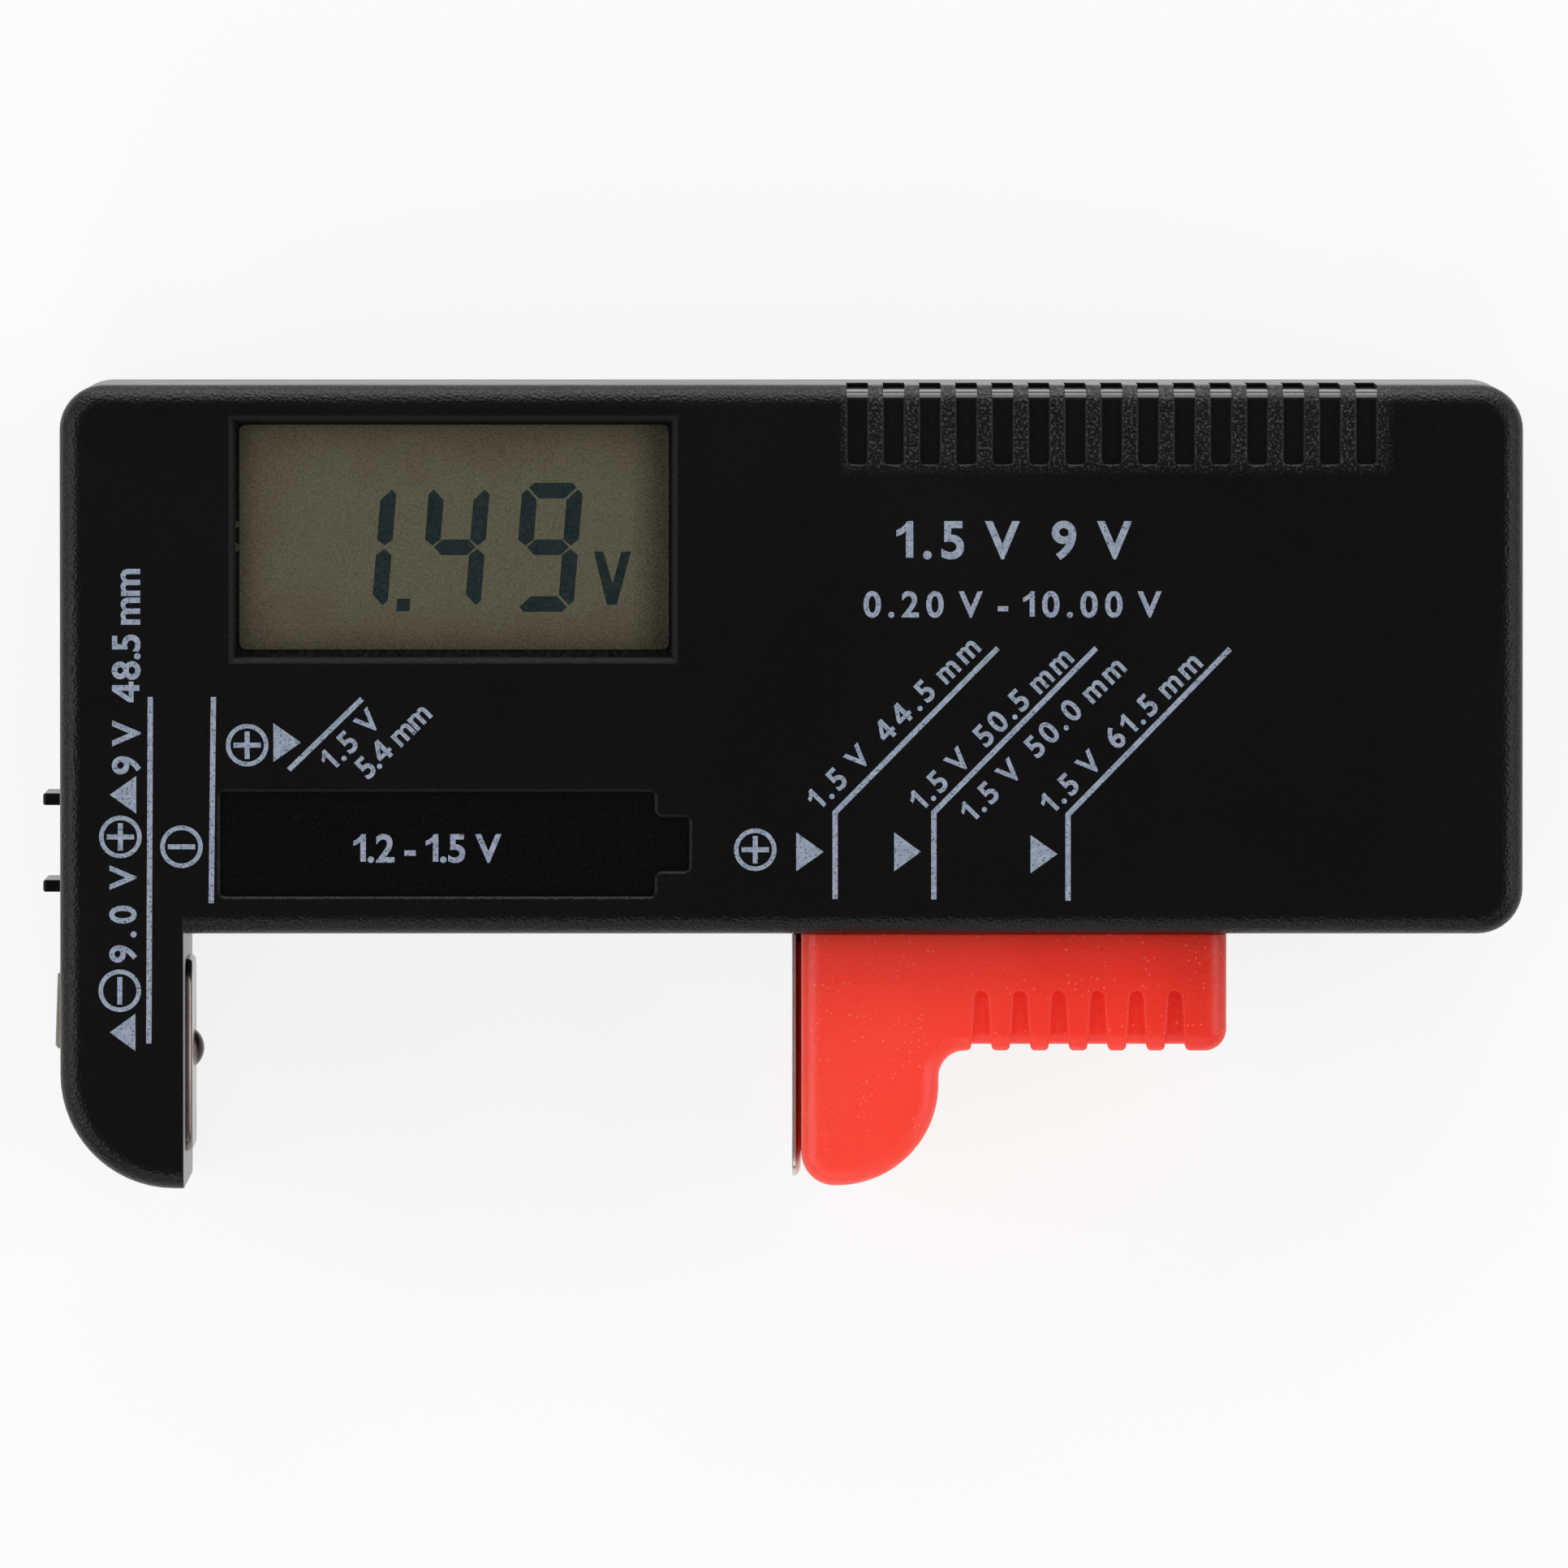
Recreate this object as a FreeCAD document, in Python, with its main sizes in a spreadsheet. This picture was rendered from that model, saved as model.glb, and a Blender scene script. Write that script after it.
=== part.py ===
# Pocket battery tester: a black case of two shells with a display, a fixed arm on its left, and a red slider
# that runs in a slot under the case and closes on a cell. Sizes are millimetres.
# Every sub-part is drawn from the case's left edge (x), the arm's tip (y) and the back face (z), then placed
# so that the origin is the middle of the back.
import FreeCAD, Part
import math
import os
import re
import Sketcher
from FreeCAD import Rotation, Vector

# Driving dimensions, one spreadsheet cell each
SIZES = {
    # case
    "case_length": 110.0,
    "body_height": 41.3,
    "arm_drop": 19.2,
    "arm_width": 9.3,
    "rear_depth": 12.5,
    "front_depth": 12.5,
    "wall": 2.0,
    "corner_round": 3.4,
    "arm_tip_flat": 0.7,
    "front_edge_round": 1.6,
    "rear_edge_round": 1.0,
    "parting_round": 0.15,
    "lip_height": 1.2,
    "lip_gap": 0.1,
    # display window, from the case's left and top edges
    "window_left": 13.2,
    "window_drop": 2.78,
    "window_width": 32.8,
    "window_height": 17.7,
    "window_rim_round": 0.55,
    # shallow cell-shaped recess, from the case's left edge and the body's bottom edge
    "recess_left": 12.0,
    "recess_rise": 2.78,
    "recess_length": 32.8,
    "recess_height": 8.0,
    "recess_nub_length": 2.6,
    "recess_nub_height": 4.2,
    "recess_depth": 0.35,
    "recess_corner": 0.5,
    "recess_rim_round": 0.15,
    # grooves over the top edge
    "groove_gap": 13.15,
    "groove_width": 1.62,
    "groove_pitch": 2.73,
    "groove_drop": 6.05,
    "groove_depth": 0.45,
    "groove_corner": 0.5,
    "groove_wrap_round": 0.8,
    "groove_reach": 9.5,
    "groove_margin": 11.0,
    # screws that join the shells
    "boss_inset": 5.5,
    "boss_radius": 3.0,
    "boss_clear": 1.2,
    "left_boss_rise": 17.0,
    "case_screw_radius": 1.2,
    "case_screw_length": 13.0,
    "case_head_radius": 2.2,
    "case_head_height": 1.6,
    "case_head_seat": 7.0,
    "screw_gap": 0.05,
    "head_gap": 0.3,
    # slider
    "slider_length": 32.05,
    "slider_depth": 17.0,
    "slider_edge_round": 1.5,
    "slider_tip_gap": 0.02,
    "slider_top_gap": 0.15,
    "slider_corner": 1.65,
    "bar_height": 8.85,
    "lobe_length": 10.35,
    "lobe_flat": 0.2,
    "lobe_toe_round": 2.5,
    "lobe_throat_round": 2.0,
    "grip_count": 6,
    "grip_pitch": 2.92,
    "grip_margin": 3.1,
    "grip_rise": 4.6,
    "grip_foot": 1.55,
    "grip_crest": 1.14,
    "grip_depth": 0.5,
    "grip_end_round": 0.4,
    "neck_depth": 3.8,
    "shoe_depth": 9.0,
    "shoe_height": 2.4,
    "slide_gap": 0.3,
    "slot_margin": 5.0,
    "jaw_rest": 44.5,
    "travel_close": 44.2,
    "travel_open": 17.5,
    # contacts
    "plate_thickness": 0.3,
    "plate_width": 12.0,
    "plate_lean": 0.4,
    "plate_corner": 2.0,
    "plate_lift": 0.6,
    "plate_seat_drop": 1.6,
    "tab_width": 3.0,
    "wiper_length": 11.0,
    "wiper_width": 1.6,
    "wiper_gap": 1.5,
    "wiper_lift": 0.6,
    "wiper_tip_radius": 0.55,
    "contact_gap": 0.05,
    "pad_thickness": 0.5,
    "pad_edge_round": 0.35,
    "pad_rise": 2.45,
    "pad_drop": 2.2,
    "pad_tab_drop": 1.5,
    "pip_rise": 10.1,
    "pip_radius": 1.45,
    "pip_height": 0.75,
    "notch_gap": 0.1,
    "terminal_spacing": 12.7,
    "terminal_rise": 13.1,
    "leaf_height": 5.8,
    "leaf_depth": 7.0,
    "leaf_proud": 0.62,
    "leaf_tip_proud": 0.45,
    "button_height": 4.8,
    "button_depth": 5.2,
    "button_sink": 0.3,
    "solder_tab": 1.6,
    "rib_proud": 1.5,
    "rib_thickness": 0.9,
    "rib_spacing": 5.65,
    "rib_depth": 9.0,
    "rib_round": 0.2,
    # rail strip
    "strip_thickness": 0.4,
    "strip_width": 3.4,
    "strip_overrun": 3.0,
    "strip_end": 6.35,
    "strip_tab_length": 4.0,
    "strip_tab_reach": 2.8,
    "stake_radius": 0.45,
    "stake_head": 0.4,
    "stake_edge": 0.55,
    "stake_inset": 2.0,
    "ledge_margin": 1.0,
    # display stack, from the front wall's inner face
    "film_thickness": 0.2,
    "film_gap_left": 0.3,
    "film_gap_right": 0.2,
    "film_gap_top": 0.25,
    "film_gap_bottom": 0.55,
    "film_corner": 0.5,
    "glass_thickness": 2.2,
    "glass_side": 2.0,
    "glass_top": 0.6,
    "glass_gap": 0.1,
    "glass_ledge": 3.5,
    "reflector_thickness": 0.3,
    "spacer_thickness": 2.2,
    "zebra_width": 2.0,
    "zebra_gap": 0.2,
    # circuit board
    "board_thickness": 1.6,
    "board_left": 10.2,
    "board_length": 50.0,
    "board_gap": 0.5,
    "board_lift": 2.5,
    "board_boss_radius": 2.2,
    "board_boss_inset": 3.0,
    "board_screw_radius": 0.9,
    "board_screw_length": 5.0,
    "board_head_radius": 1.7,
    "board_head_height": 1.2,
    # components, from the board's left, top or bottom edge
    "component_gap": 2.0,
    "blob_from_left": 16.0,
    "blob_from_top": 12.0,
    "blob_radius": 5.5,
    "blob_height": 1.8,
    "upper_row_from_top": 8.0,
    "coil_radius": 3.2,
    "coil_flange_radius": 4.0,
    "coil_flange_height": 1.0,
    "coil_height": 6.0,
    "filter_can_radius": 2.5,
    "filter_can_height": 7.0,
    "storage_can_radius": 3.15,
    "storage_can_height": 9.0,
    "crimp_radius": 0.3,
    "crimp_rise": 1.5,
    "lower_row_from_bottom": 10.5,
    "transistor_radius": 2.3,
    "transistor_flat": 1.3,
    "transistor_height": 4.6,
    "transistor_stand": 2.0,
    "transistor_pitch": 1.27,
    "lead_radius": 0.3,
    "lead_overhang": 1.5,
    "axial_stand": 1.6,
    "resistor_from_left": 12.0,
    "resistor_pitch": 4.0,
    "resistor_radius": 1.2,
    "resistor_length": 6.4,
    "diode_from_left": 24.0,
    "diode_from_bottom": 4.0,
    "diode_radius": 0.95,
    "diode_length": 4.2,
    "wire_radius": 0.55,
    "wire_lane": 0.9,
}

# Places worked out from the driving dimensions
TOP = "(arm_drop + body_height)"
DEPTH = "(rear_depth + front_depth)"
FRONT_INSIDE = f"({DEPTH} - wall)"
FLOOR = "(arm_drop + wall)"
WINDOW_RIGHT = "(window_left + window_width)"
WINDOW_TOP = f"({TOP} - window_drop)"
WINDOW_BOTTOM = f"({WINDOW_TOP} - window_height)"
GROOVE_START = f"({WINDOW_RIGHT} + groove_gap)"
GROOVE_COUNT = f"(floor((case_length - groove_margin - {GROOVE_START} - groove_width) / groove_pitch) + 1)"
PIP_TIP = "(arm_width + pad_thickness + pip_height)"
PLATE_LEFT = f"({PIP_TIP} + jaw_rest)"
SLIDER_LEFT = f"({PLATE_LEFT} + plate_thickness + plate_lean)"
SLIDER_RIGHT = f"({SLIDER_LEFT} + slider_length)"
SLIDER_TOP = "(arm_drop - slider_top_gap)"
SLIDER_BACK = "(rear_depth - slider_depth / 2)"
BAR_BOTTOM = f"({SLIDER_TOP} - bar_height)"
LOBE_ROOM = f"{BAR_BOTTOM} - slider_tip_gap - lobe_throat_round"
LOBE_ROUND = f"(min(lobe_length - lobe_toe_round; {LOBE_ROOM}) - lobe_flat)"
SLOT_LEFT = f"({PLATE_LEFT} - travel_close - slide_gap)"
SLOT_RIGHT = "(case_length - wall - slot_margin)"
NECK_RIGHT = f"min({SLIDER_RIGHT} - slider_corner; {SLOT_RIGHT} - travel_open - slide_gap)"
SHOE_BOTTOM = f"({FLOOR} + slide_gap)"
SHOE_TOP = f"({SHOE_BOTTOM} + shoe_height)"
WIPER_MIDDLE = f"({SHOE_BOTTOM} + shoe_height / 2)"
STRIP_TOP = "(rear_depth - shoe_depth / 2 - wiper_gap)"
LEDGE_TOP = f"({STRIP_TOP} - strip_thickness)"
STRIP_LEFT = f"({PLATE_LEFT} - travel_close + wiper_length - strip_overrun)"
STRIP_RIGHT = f"({SLOT_RIGHT} - strip_end)"
STRIP_BACK = f"({FLOOR} + lip_gap)"
STRIP_FRONT = f"({STRIP_BACK} + strip_width)"
POSITIVE_RISE = "(terminal_rise + terminal_spacing)"
PAD_TOP = "(arm_drop - pad_drop)"
PAD_TAB = f"({PAD_TOP} - pad_tab_drop)"
LEAF_TOP = "(terminal_rise + leaf_height / 2)"
LEAF_TAB = f"({LEAF_TOP} - plate_thickness)"
BOARD_FRONT = f"({FRONT_INSIDE} - glass_thickness - reflector_thickness - spacer_thickness)"
BOARD_BACK = f"({BOARD_FRONT} - board_thickness)"
BOARD_RIGHT = "(board_left + board_length)"
BOARD_BOTTOM = f"({SHOE_TOP} + board_lift)"
BOARD_TOP = f"({TOP} - wall - board_gap)"
GLASS_LEFT = "(window_left - glass_side)"
GLASS_RIGHT = f"({WINDOW_RIGHT} + glass_side)"
GLASS_BOTTOM = f"({WINDOW_BOTTOM} - glass_ledge)"
GLASS_TOP = f"min({WINDOW_TOP} + glass_top; {TOP} - wall - glass_gap)"
GLASS_BACK = f"({FRONT_INSIDE} - glass_thickness)"
ZEBRA_MIDDLE = f"({WINDOW_BOTTOM} - glass_ledge / 2)"
CASE_SCREWS = [
    ("boss_inset", f"({TOP} - boss_inset)"),
    ("boss_inset", "(arm_drop + left_boss_rise)"),
    ("(case_length - boss_inset)", f"({TOP} - boss_inset)"),
    ("(case_length - boss_inset)", f"({SHOE_TOP} + boss_radius + boss_clear)"),
]
BOARD_SCREWS = [
    ("(board_left + board_boss_inset)", f"({BOARD_BOTTOM} + board_boss_inset)"),
    (f"({BOARD_RIGHT} - board_boss_inset)", f"({BOARD_BOTTOM} + board_boss_inset)"),
    (f"({BOARD_RIGHT} - board_boss_inset)", f"({BOARD_TOP} - board_boss_inset)"),
]

# How near an edge has to be to a place to count as on it
TOLERANCE = 1e-4

doc = FreeCAD.newDocument("BatteryTester")
sheet = doc.addObject("Spreadsheet::Sheet", "Sizes")
for row, (alias, number) in enumerate(SIZES.items(), start=1):
    sheet.set(f"A{row}", alias)
    sheet.set(f"B{row}", str(number))
    sheet.setAlias(f"B{row}", alias)
doc.recompute()
sub_parts = []


# Binding to the spreadsheet
def cells(text):
    """The expression with every size named by its spreadsheet cell."""
    return re.sub(r"[a-z_]+", lambda m: f"Sizes.{m[0]}" if m[0] in SIZES else m[0], text)


def value(text):
    """The number that an expression has now."""
    return float(sheet.evalExpression(text))


def bind(thing, name, text):
    thing.setExpression(name, cells(text))


def keep(thing, label):
    """Takes a finished shape as a sub-part and moves the origin to the middle of the back."""
    thing.Label = label
    places = dict(thing.ExpressionEngine)
    for axis, shift in (("x", "(rib_proud - case_length) / 2"), ("y", f"-{TOP} / 2")):
        drawn_at = places.get(f".Placement.Base.{axis}", "0")
        thing.setExpression(f"Placement.Base.{axis}", f"{drawn_at} + {cells(shift)}")
    sub_parts.append(thing)
    return thing


def around(middle, half):
    """The two places on either side of a middle."""
    return (f"{middle} - {half}", f"{middle} + {half}")


def place_at(thing, at):
    for axis, place in zip("xyz", at):
        bind(thing, f"Placement.Base.{axis}", place)


# Simple solids, given by expressions
def size_box(box, x, y, z):
    """Sets a box to run between the pair of places on each axis."""
    for side, axis, (low, high) in (("Length", "x", x), ("Width", "y", y), ("Height", "z", z)):
        bind(box, side, f"{high} - ({low})")
        bind(box, f"Placement.Base.{axis}", low)
    return box


def box(name, x, y, z):
    return size_box(doc.addObject("Part::Box", name), x, y, z)


def rod(name, radius, length, at, along="z"):
    """A cylinder that starts at a point and runs along an axis."""
    turn = {"x": Rotation(Vector(0, 1, 0), 90), "y": Rotation(Vector(1, 0, 0), -90), "z": Rotation()}
    cylinder = doc.addObject("Part::Cylinder", name)
    cylinder.Placement.Rotation = turn[along]
    bind(cylinder, "Radius", radius)
    bind(cylinder, "Height", length)
    place_at(cylinder, at)
    return cylinder


def fuse(name, shapes):
    joined = doc.addObject("Part::MultiFuse", name)
    joined.Shapes = shapes
    return joined


def cut(name, base, tool):
    left = doc.addObject("Part::Cut", name)
    left.Base = base
    left.Tool = tool
    return left


def group(name, shapes):
    together = doc.addObject("Part::Compound", name)
    together.Links = shapes
    return together


# Solids built up from sketches
def new_body(name):
    return doc.addObject("PartDesign::Body", name)


def sketch_on(body, plane, offset, name):
    """A sketch on one of the body's own planes, moved along its normal."""
    sketch = body.newObject("Sketcher::SketchObject", name)
    origin_plane = next(f for f in body.Origin.OriginFeatures if f.Role == plane)
    sketch.AttachmentSupport = [(origin_plane, "")]
    sketch.MapMode = "FlatFace"
    bind(sketch, "AttachmentOffset.Base.z", offset)
    return sketch


def hold(sketch, kind, place, *where):
    """Adds a dimension and binds it to the spreadsheet."""
    index = sketch.addConstraint(Sketcher.Constraint(kind, *where, value(place)))
    sketch.setExpression(f"Constraints[{index}]", cells(place))


def outline(sketch, edges):
    """Closes a ring of upright ("x") and level ("y") edges, each (axis, place, radius of its end corner)."""
    count = len(edges)
    places = [value(place) for _, place, _ in edges]
    radii = [value(radius) if radius else 0.0 for _, _, radius in edges]
    corners = []
    for i in range(count):
        after = places[(i + 1) % count]
        corners.append(Vector(places[i], after) if edges[i][0] == "x" else Vector(after, places[i]))
    runs = [(corners[i] - corners[i - 1]).normalize() for i in range(count)]
    lines = []
    for i, (axis, place, _) in enumerate(edges):
        start = corners[i - 1] + runs[i] * radii[i - 1]
        line = sketch.addGeometry(Part.LineSegment(start, corners[i] - runs[i] * radii[i]))
        sketch.addConstraint(Sketcher.Constraint("Vertical" if axis == "x" else "Horizontal", line))
        hold(sketch, "DistanceX" if axis == "x" else "DistanceY", place, -1, 1, line, 1)
        lines.append(line)
    for i in range(count):
        after = (i + 1) % count
        if not radii[i]:
            sketch.addConstraint(Sketcher.Constraint("Coincident", lines[i], 2, lines[after], 1))
            continue
        centre = corners[i] + (runs[after] - runs[i]) * radii[i]
        left_turn = runs[i].cross(runs[after]).z > 0
        first = -runs[after] if left_turn else runs[i]
        angle = math.atan2(first.y, first.x)
        circle = Part.Circle(centre, Vector(0, 0, 1), radii[i])
        arc = sketch.addGeometry(Part.ArcOfCircle(circle, angle, angle + math.pi / 2))
        begin, end = (1, 2) if left_turn else (2, 1)
        sketch.addConstraint(Sketcher.Constraint("Tangent", lines[i], 2, arc, begin))
        sketch.addConstraint(Sketcher.Constraint("Tangent", arc, end, lines[after], 1))
        hold(sketch, "Radius", edges[i][2], arc)


def rectangle(sketch, x, y, radius=None):
    low_x, high_x = x
    low_y, high_y = y
    sides = (("y", low_y), ("x", high_x), ("y", high_y), ("x", low_x))
    outline(sketch, [(axis, place, radius) for axis, place in sides])


def circles(sketch, centres, radius):
    for x, y in centres:
        ring = sketch.addGeometry(Part.Circle(Vector(value(x), value(y)), Vector(0, 0, 1), value(radius)))
        hold(sketch, "DistanceX", x, -1, 1, ring, 3)
        hold(sketch, "DistanceY", y, -1, 1, ring, 3)
        hold(sketch, "Radius", radius, ring)


def extrude(body, kind, sketch, length, other_way=False):
    """A Pad along the sketch's normal or a Pocket against it, or the other way."""
    feature = body.newObject(f"PartDesign::{kind}", f"{sketch.Name}_{kind.lower()}")
    feature.Profile = sketch
    feature.Reversed = other_way
    bind(feature, "Length", length)
    doc.recompute()
    return feature


def block(body, kind, name, x, y, z):
    """An AdditiveBox or SubtractiveBox feature."""
    return size_box(body.newObject(f"PartDesign::{kind}Box", name), x, y, z)


def pin(body, name, radius, length, at):
    """A round pin along z."""
    feature = body.newObject("PartDesign::AdditiveCylinder", name)
    bind(feature, "Radius", radius)
    bind(feature, "Height", length)
    place_at(feature, at)


def round_edges(body, base, radius, chosen, name):
    """Fillets the edges of a feature that the test picks."""
    doc.recompute()
    feature = body.newObject("PartDesign::Fillet", name)
    picked = [f"Edge{i}" for i, edge in enumerate(base.Shape.Edges, start=1) if chosen(edge.BoundBox)]
    feature.Base = (base, picked)
    bind(feature, "Radius", radius)
    doc.recompute()
    return feature


def near(number, text):
    return abs(number - value(text)) < TOLERANCE


def level_at(bounds, place):
    """True for an edge that lies at one height z."""
    return near(bounds.ZMin, place) and near(bounds.ZMax, place)


def inside(bounds, x, y):
    """True for an edge within a rectangle seen from the front."""
    reach_x = value(x[0]) - TOLERANCE <= bounds.XMin and bounds.XMax <= value(x[1]) + TOLERANCE
    reach_y = value(y[0]) - TOLERANCE <= bounds.YMin and bounds.YMax <= value(y[1]) + TOLERANCE
    return reach_x and reach_y


# The two shells
def case_outline(sketch, inset):
    """The case from the front: a bar with an arm under its left end, moved in by the inset."""
    corner = f"corner_round - {inset}"
    outline(
        sketch,
        [
            ("y", inset, None),
            ("x", f"arm_width - {inset}", None),
            ("y", f"arm_drop + {inset}", corner),
            ("x", f"case_length - {inset}", corner),
            ("y", f"{TOP} - {inset}", corner),
            ("x", inset, f"arm_width - arm_tip_flat - 2 * {inset}"),
        ],
    )


def on_jaw_face(bounds):
    """True for an edge that lies along the arm's inner face, which has no large round."""
    return near(bounds.XMin, "arm_width") and near(bounds.XMax, "arm_width")


def shell_walls(body, name, start, depth, edge_round, front):
    """A rounded tray with its open side at the parting plane."""
    rim = sketch_on(body, "XY_Plane", start, f"{name}_rim")
    case_outline(rim, "0")
    tray = extrude(body, "Pad", rim, depth)
    face = DEPTH if front else "0"
    parting = round_edges(
        body, tray, "parting_round", lambda bounds: level_at(bounds, "rear_depth"), f"{name}_parting_round"
    )

    def outer_edge(bounds):
        return level_at(bounds, face) and not on_jaw_face(bounds)

    round_edges(body, parting, edge_round, outer_edge, f"{name}_edge_round")
    cavity = sketch_on(body, "XY_Plane", "rear_depth", f"{name}_cavity")
    case_outline(cavity, "wall")
    extrude(body, "Pocket", cavity, f"{depth} - wall", other_way=front)


def slider_slot(body, name):
    slot_x = (SLOT_LEFT, SLOT_RIGHT)
    slot_y = ("arm_drop - lip_gap", f"{FLOOR} + lip_gap")
    slot_z = around("rear_depth", "(neck_depth / 2 + slide_gap)")
    block(body, "Subtractive", f"{name}_slot", slot_x, slot_y, slot_z)


def contact_notches(body, name):
    """The cuts at the parting plane that trap the three fixed contacts."""

    def cut_at(label, x, y, half_depth):
        z = around("rear_depth", f"({half_depth} + notch_gap)")
        block(body, "Subtractive", f"{name}_{label}", x, y, z)

    half_plate = "(plate_thickness / 2 + notch_gap)"
    outer_wall = ("-notch_gap", "wall + notch_gap")
    jaw_wall = ("arm_width - wall - notch_gap", "arm_width + notch_gap")
    cut_at("pad_notch", jaw_wall, around(PAD_TAB, half_plate), "solder_tab")
    cut_at("leaf_notch", outer_wall, around(LEAF_TAB, half_plate), "solder_tab")
    cut_at("button_notch", outer_wall, around(POSITIVE_RISE, half_plate), "solder_tab")
    button_sink = ("-notch_gap", "button_sink + plate_thickness")
    button_reach = "(button_height / 2 + notch_gap)"
    cut_at("button_seat", button_sink, around(POSITIVE_RISE, button_reach), "button_depth / 2")


def guide_ribs(body, name, z):
    """Two ribs that guide a nine-volt battery's small stud on to its contact."""
    for label, side in (("upper", 1), ("lower", -1)):
        middle = f"{POSITIVE_RISE} + {side} * (rib_spacing + rib_thickness) / 2"
        y = around(middle, "rib_thickness / 2")
        rib = block(body, "Additive", f"{name}_{label}_rib", ("-rib_proud", "wall / 2"), y, z)

    def outer_edge(bounds):
        on_crest = near(bounds.XMin, "-rib_proud") and near(bounds.XMax, "-rib_proud")
        return on_crest and not level_at(bounds, "rear_depth")

    round_edges(body, rib, "rib_round", outer_edge, f"{name}_rib_round")


def front_shell():
    body = new_body("front_shell")
    shell_walls(body, "front", "rear_depth", "front_depth", "front_edge_round", front=True)

    lip = sketch_on(body, "XY_Plane", "rear_depth", "front_lip")
    case_outline(lip, "(wall / 2 + lip_gap)")
    case_outline(lip, "wall")
    extrude(body, "Pad", lip, "lip_height", other_way=True)

    bosses = sketch_on(body, "XY_Plane", "rear_depth", "front_bosses")
    circles(bosses, CASE_SCREWS, "boss_radius")
    extrude(body, "Pad", bosses, "front_depth - wall")
    pilots = sketch_on(body, "XY_Plane", "rear_depth", "front_pilots")
    circles(pilots, CASE_SCREWS, "case_screw_radius + screw_gap")
    pilot_depth = "case_head_seat + case_screw_length + head_gap - rear_depth"
    extrude(body, "Pocket", pilots, pilot_depth, other_way=True)

    posts = sketch_on(body, "XY_Plane", BOARD_FRONT, "board_posts")
    circles(posts, BOARD_SCREWS, "board_boss_radius")
    extrude(body, "Pad", posts, f"{FRONT_INSIDE} - {BOARD_FRONT}")
    post_pilots = sketch_on(body, "XY_Plane", BOARD_FRONT, "board_pilots")
    circles(post_pilots, BOARD_SCREWS, "board_screw_radius + screw_gap")
    extrude(body, "Pocket", post_pilots, "board_screw_length - board_thickness + head_gap", other_way=True)

    window = sketch_on(body, "XY_Plane", FRONT_INSIDE, "window")
    window_x, window_y = ("window_left", WINDOW_RIGHT), (WINDOW_BOTTOM, WINDOW_TOP)
    rectangle(window, window_x, window_y)
    opening = extrude(body, "Pocket", window, "wall", other_way=True)
    round_edges(
        body,
        opening,
        "window_rim_round",
        lambda bounds: level_at(bounds, DEPTH) and inside(bounds, window_x, window_y),
        "window_rim",
    )

    cell_recess(body)
    guide_ribs(body, "front", ("rear_depth", "rear_depth + rib_depth / 2"))
    slider_slot(body, "front")
    contact_notches(body, "front")
    top_grooves(body)
    return keep(body, "front_shell")


def cell_recess(body):
    """The shallow recess in the shape of a cell lying on its side."""
    bottom = "(arm_drop + recess_rise)"
    middle = f"({bottom} + recess_height / 2)"
    right = "(recess_left + recess_length)"
    recess = sketch_on(body, "XY_Plane", DEPTH, "cell_recess")
    outline(
        recess,
        [
            ("y", bottom, "recess_corner"),
            ("x", right, "recess_corner"),
            ("y", f"{middle} - recess_nub_height / 2", "recess_corner"),
            ("x", f"{right} + recess_nub_length", "recess_corner"),
            ("y", f"{middle} + recess_nub_height / 2", "recess_corner"),
            ("x", right, "recess_corner"),
            ("y", f"{bottom} + recess_height", "recess_corner"),
            ("x", "recess_left", "recess_corner"),
        ],
    )
    hollow = extrude(body, "Pocket", recess, "recess_depth")
    recess_x = ("recess_left", f"{right} + recess_nub_length")
    recess_y = (bottom, f"{bottom} + recess_height")
    round_edges(
        body,
        hollow,
        "recess_rim_round",
        lambda bounds: level_at(bounds, DEPTH) and inside(bounds, recess_x, recess_y),
        "recess_rim",
    )


def top_grooves(body):
    """A row of blind grooves that run down the front and back over the rounded top edge."""
    foot = f"({TOP} - groove_drop)"
    shoulder = f"({foot} + groove_corner)"
    wrap = sketch_on(body, "YZ_Plane", GROOVE_START, "groove_wrap")
    outline(
        wrap,
        [
            ("y", f"{DEPTH} - groove_depth", "groove_wrap_round"),
            ("x", f"{TOP} - groove_depth", None),
            ("y", f"{DEPTH} - groove_reach", None),
            ("x", f"{TOP} + groove_depth", None),
            ("y", f"{DEPTH} + groove_depth", None),
            ("x", shoulder, None),
        ],
    )
    wrap_cut = extrude(body, "Pocket", wrap, "groove_width", other_way=True)
    end = sketch_on(body, "XY_Plane", DEPTH, "groove_end")
    outline(
        end,
        [
            ("y", foot, "groove_corner"),
            ("x", f"{GROOVE_START} + groove_width", None),
            ("y", f"{shoulder} + groove_depth", None),
            ("x", GROOVE_START, "groove_corner"),
        ],
    )
    end_cut = extrude(body, "Pocket", end, "groove_depth")
    row_of_grooves = body.newObject("PartDesign::LinearPattern", "groove_row")
    row_of_grooves.Originals = [wrap_cut, end_cut]
    row_of_grooves.Direction = (end, ["H_Axis"])
    bind(row_of_grooves, "Occurrences", GROOVE_COUNT)
    bind(row_of_grooves, "Length", f"groove_pitch * ({GROOVE_COUNT} - 1)")
    body.Tip = row_of_grooves
    doc.recompute()


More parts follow.
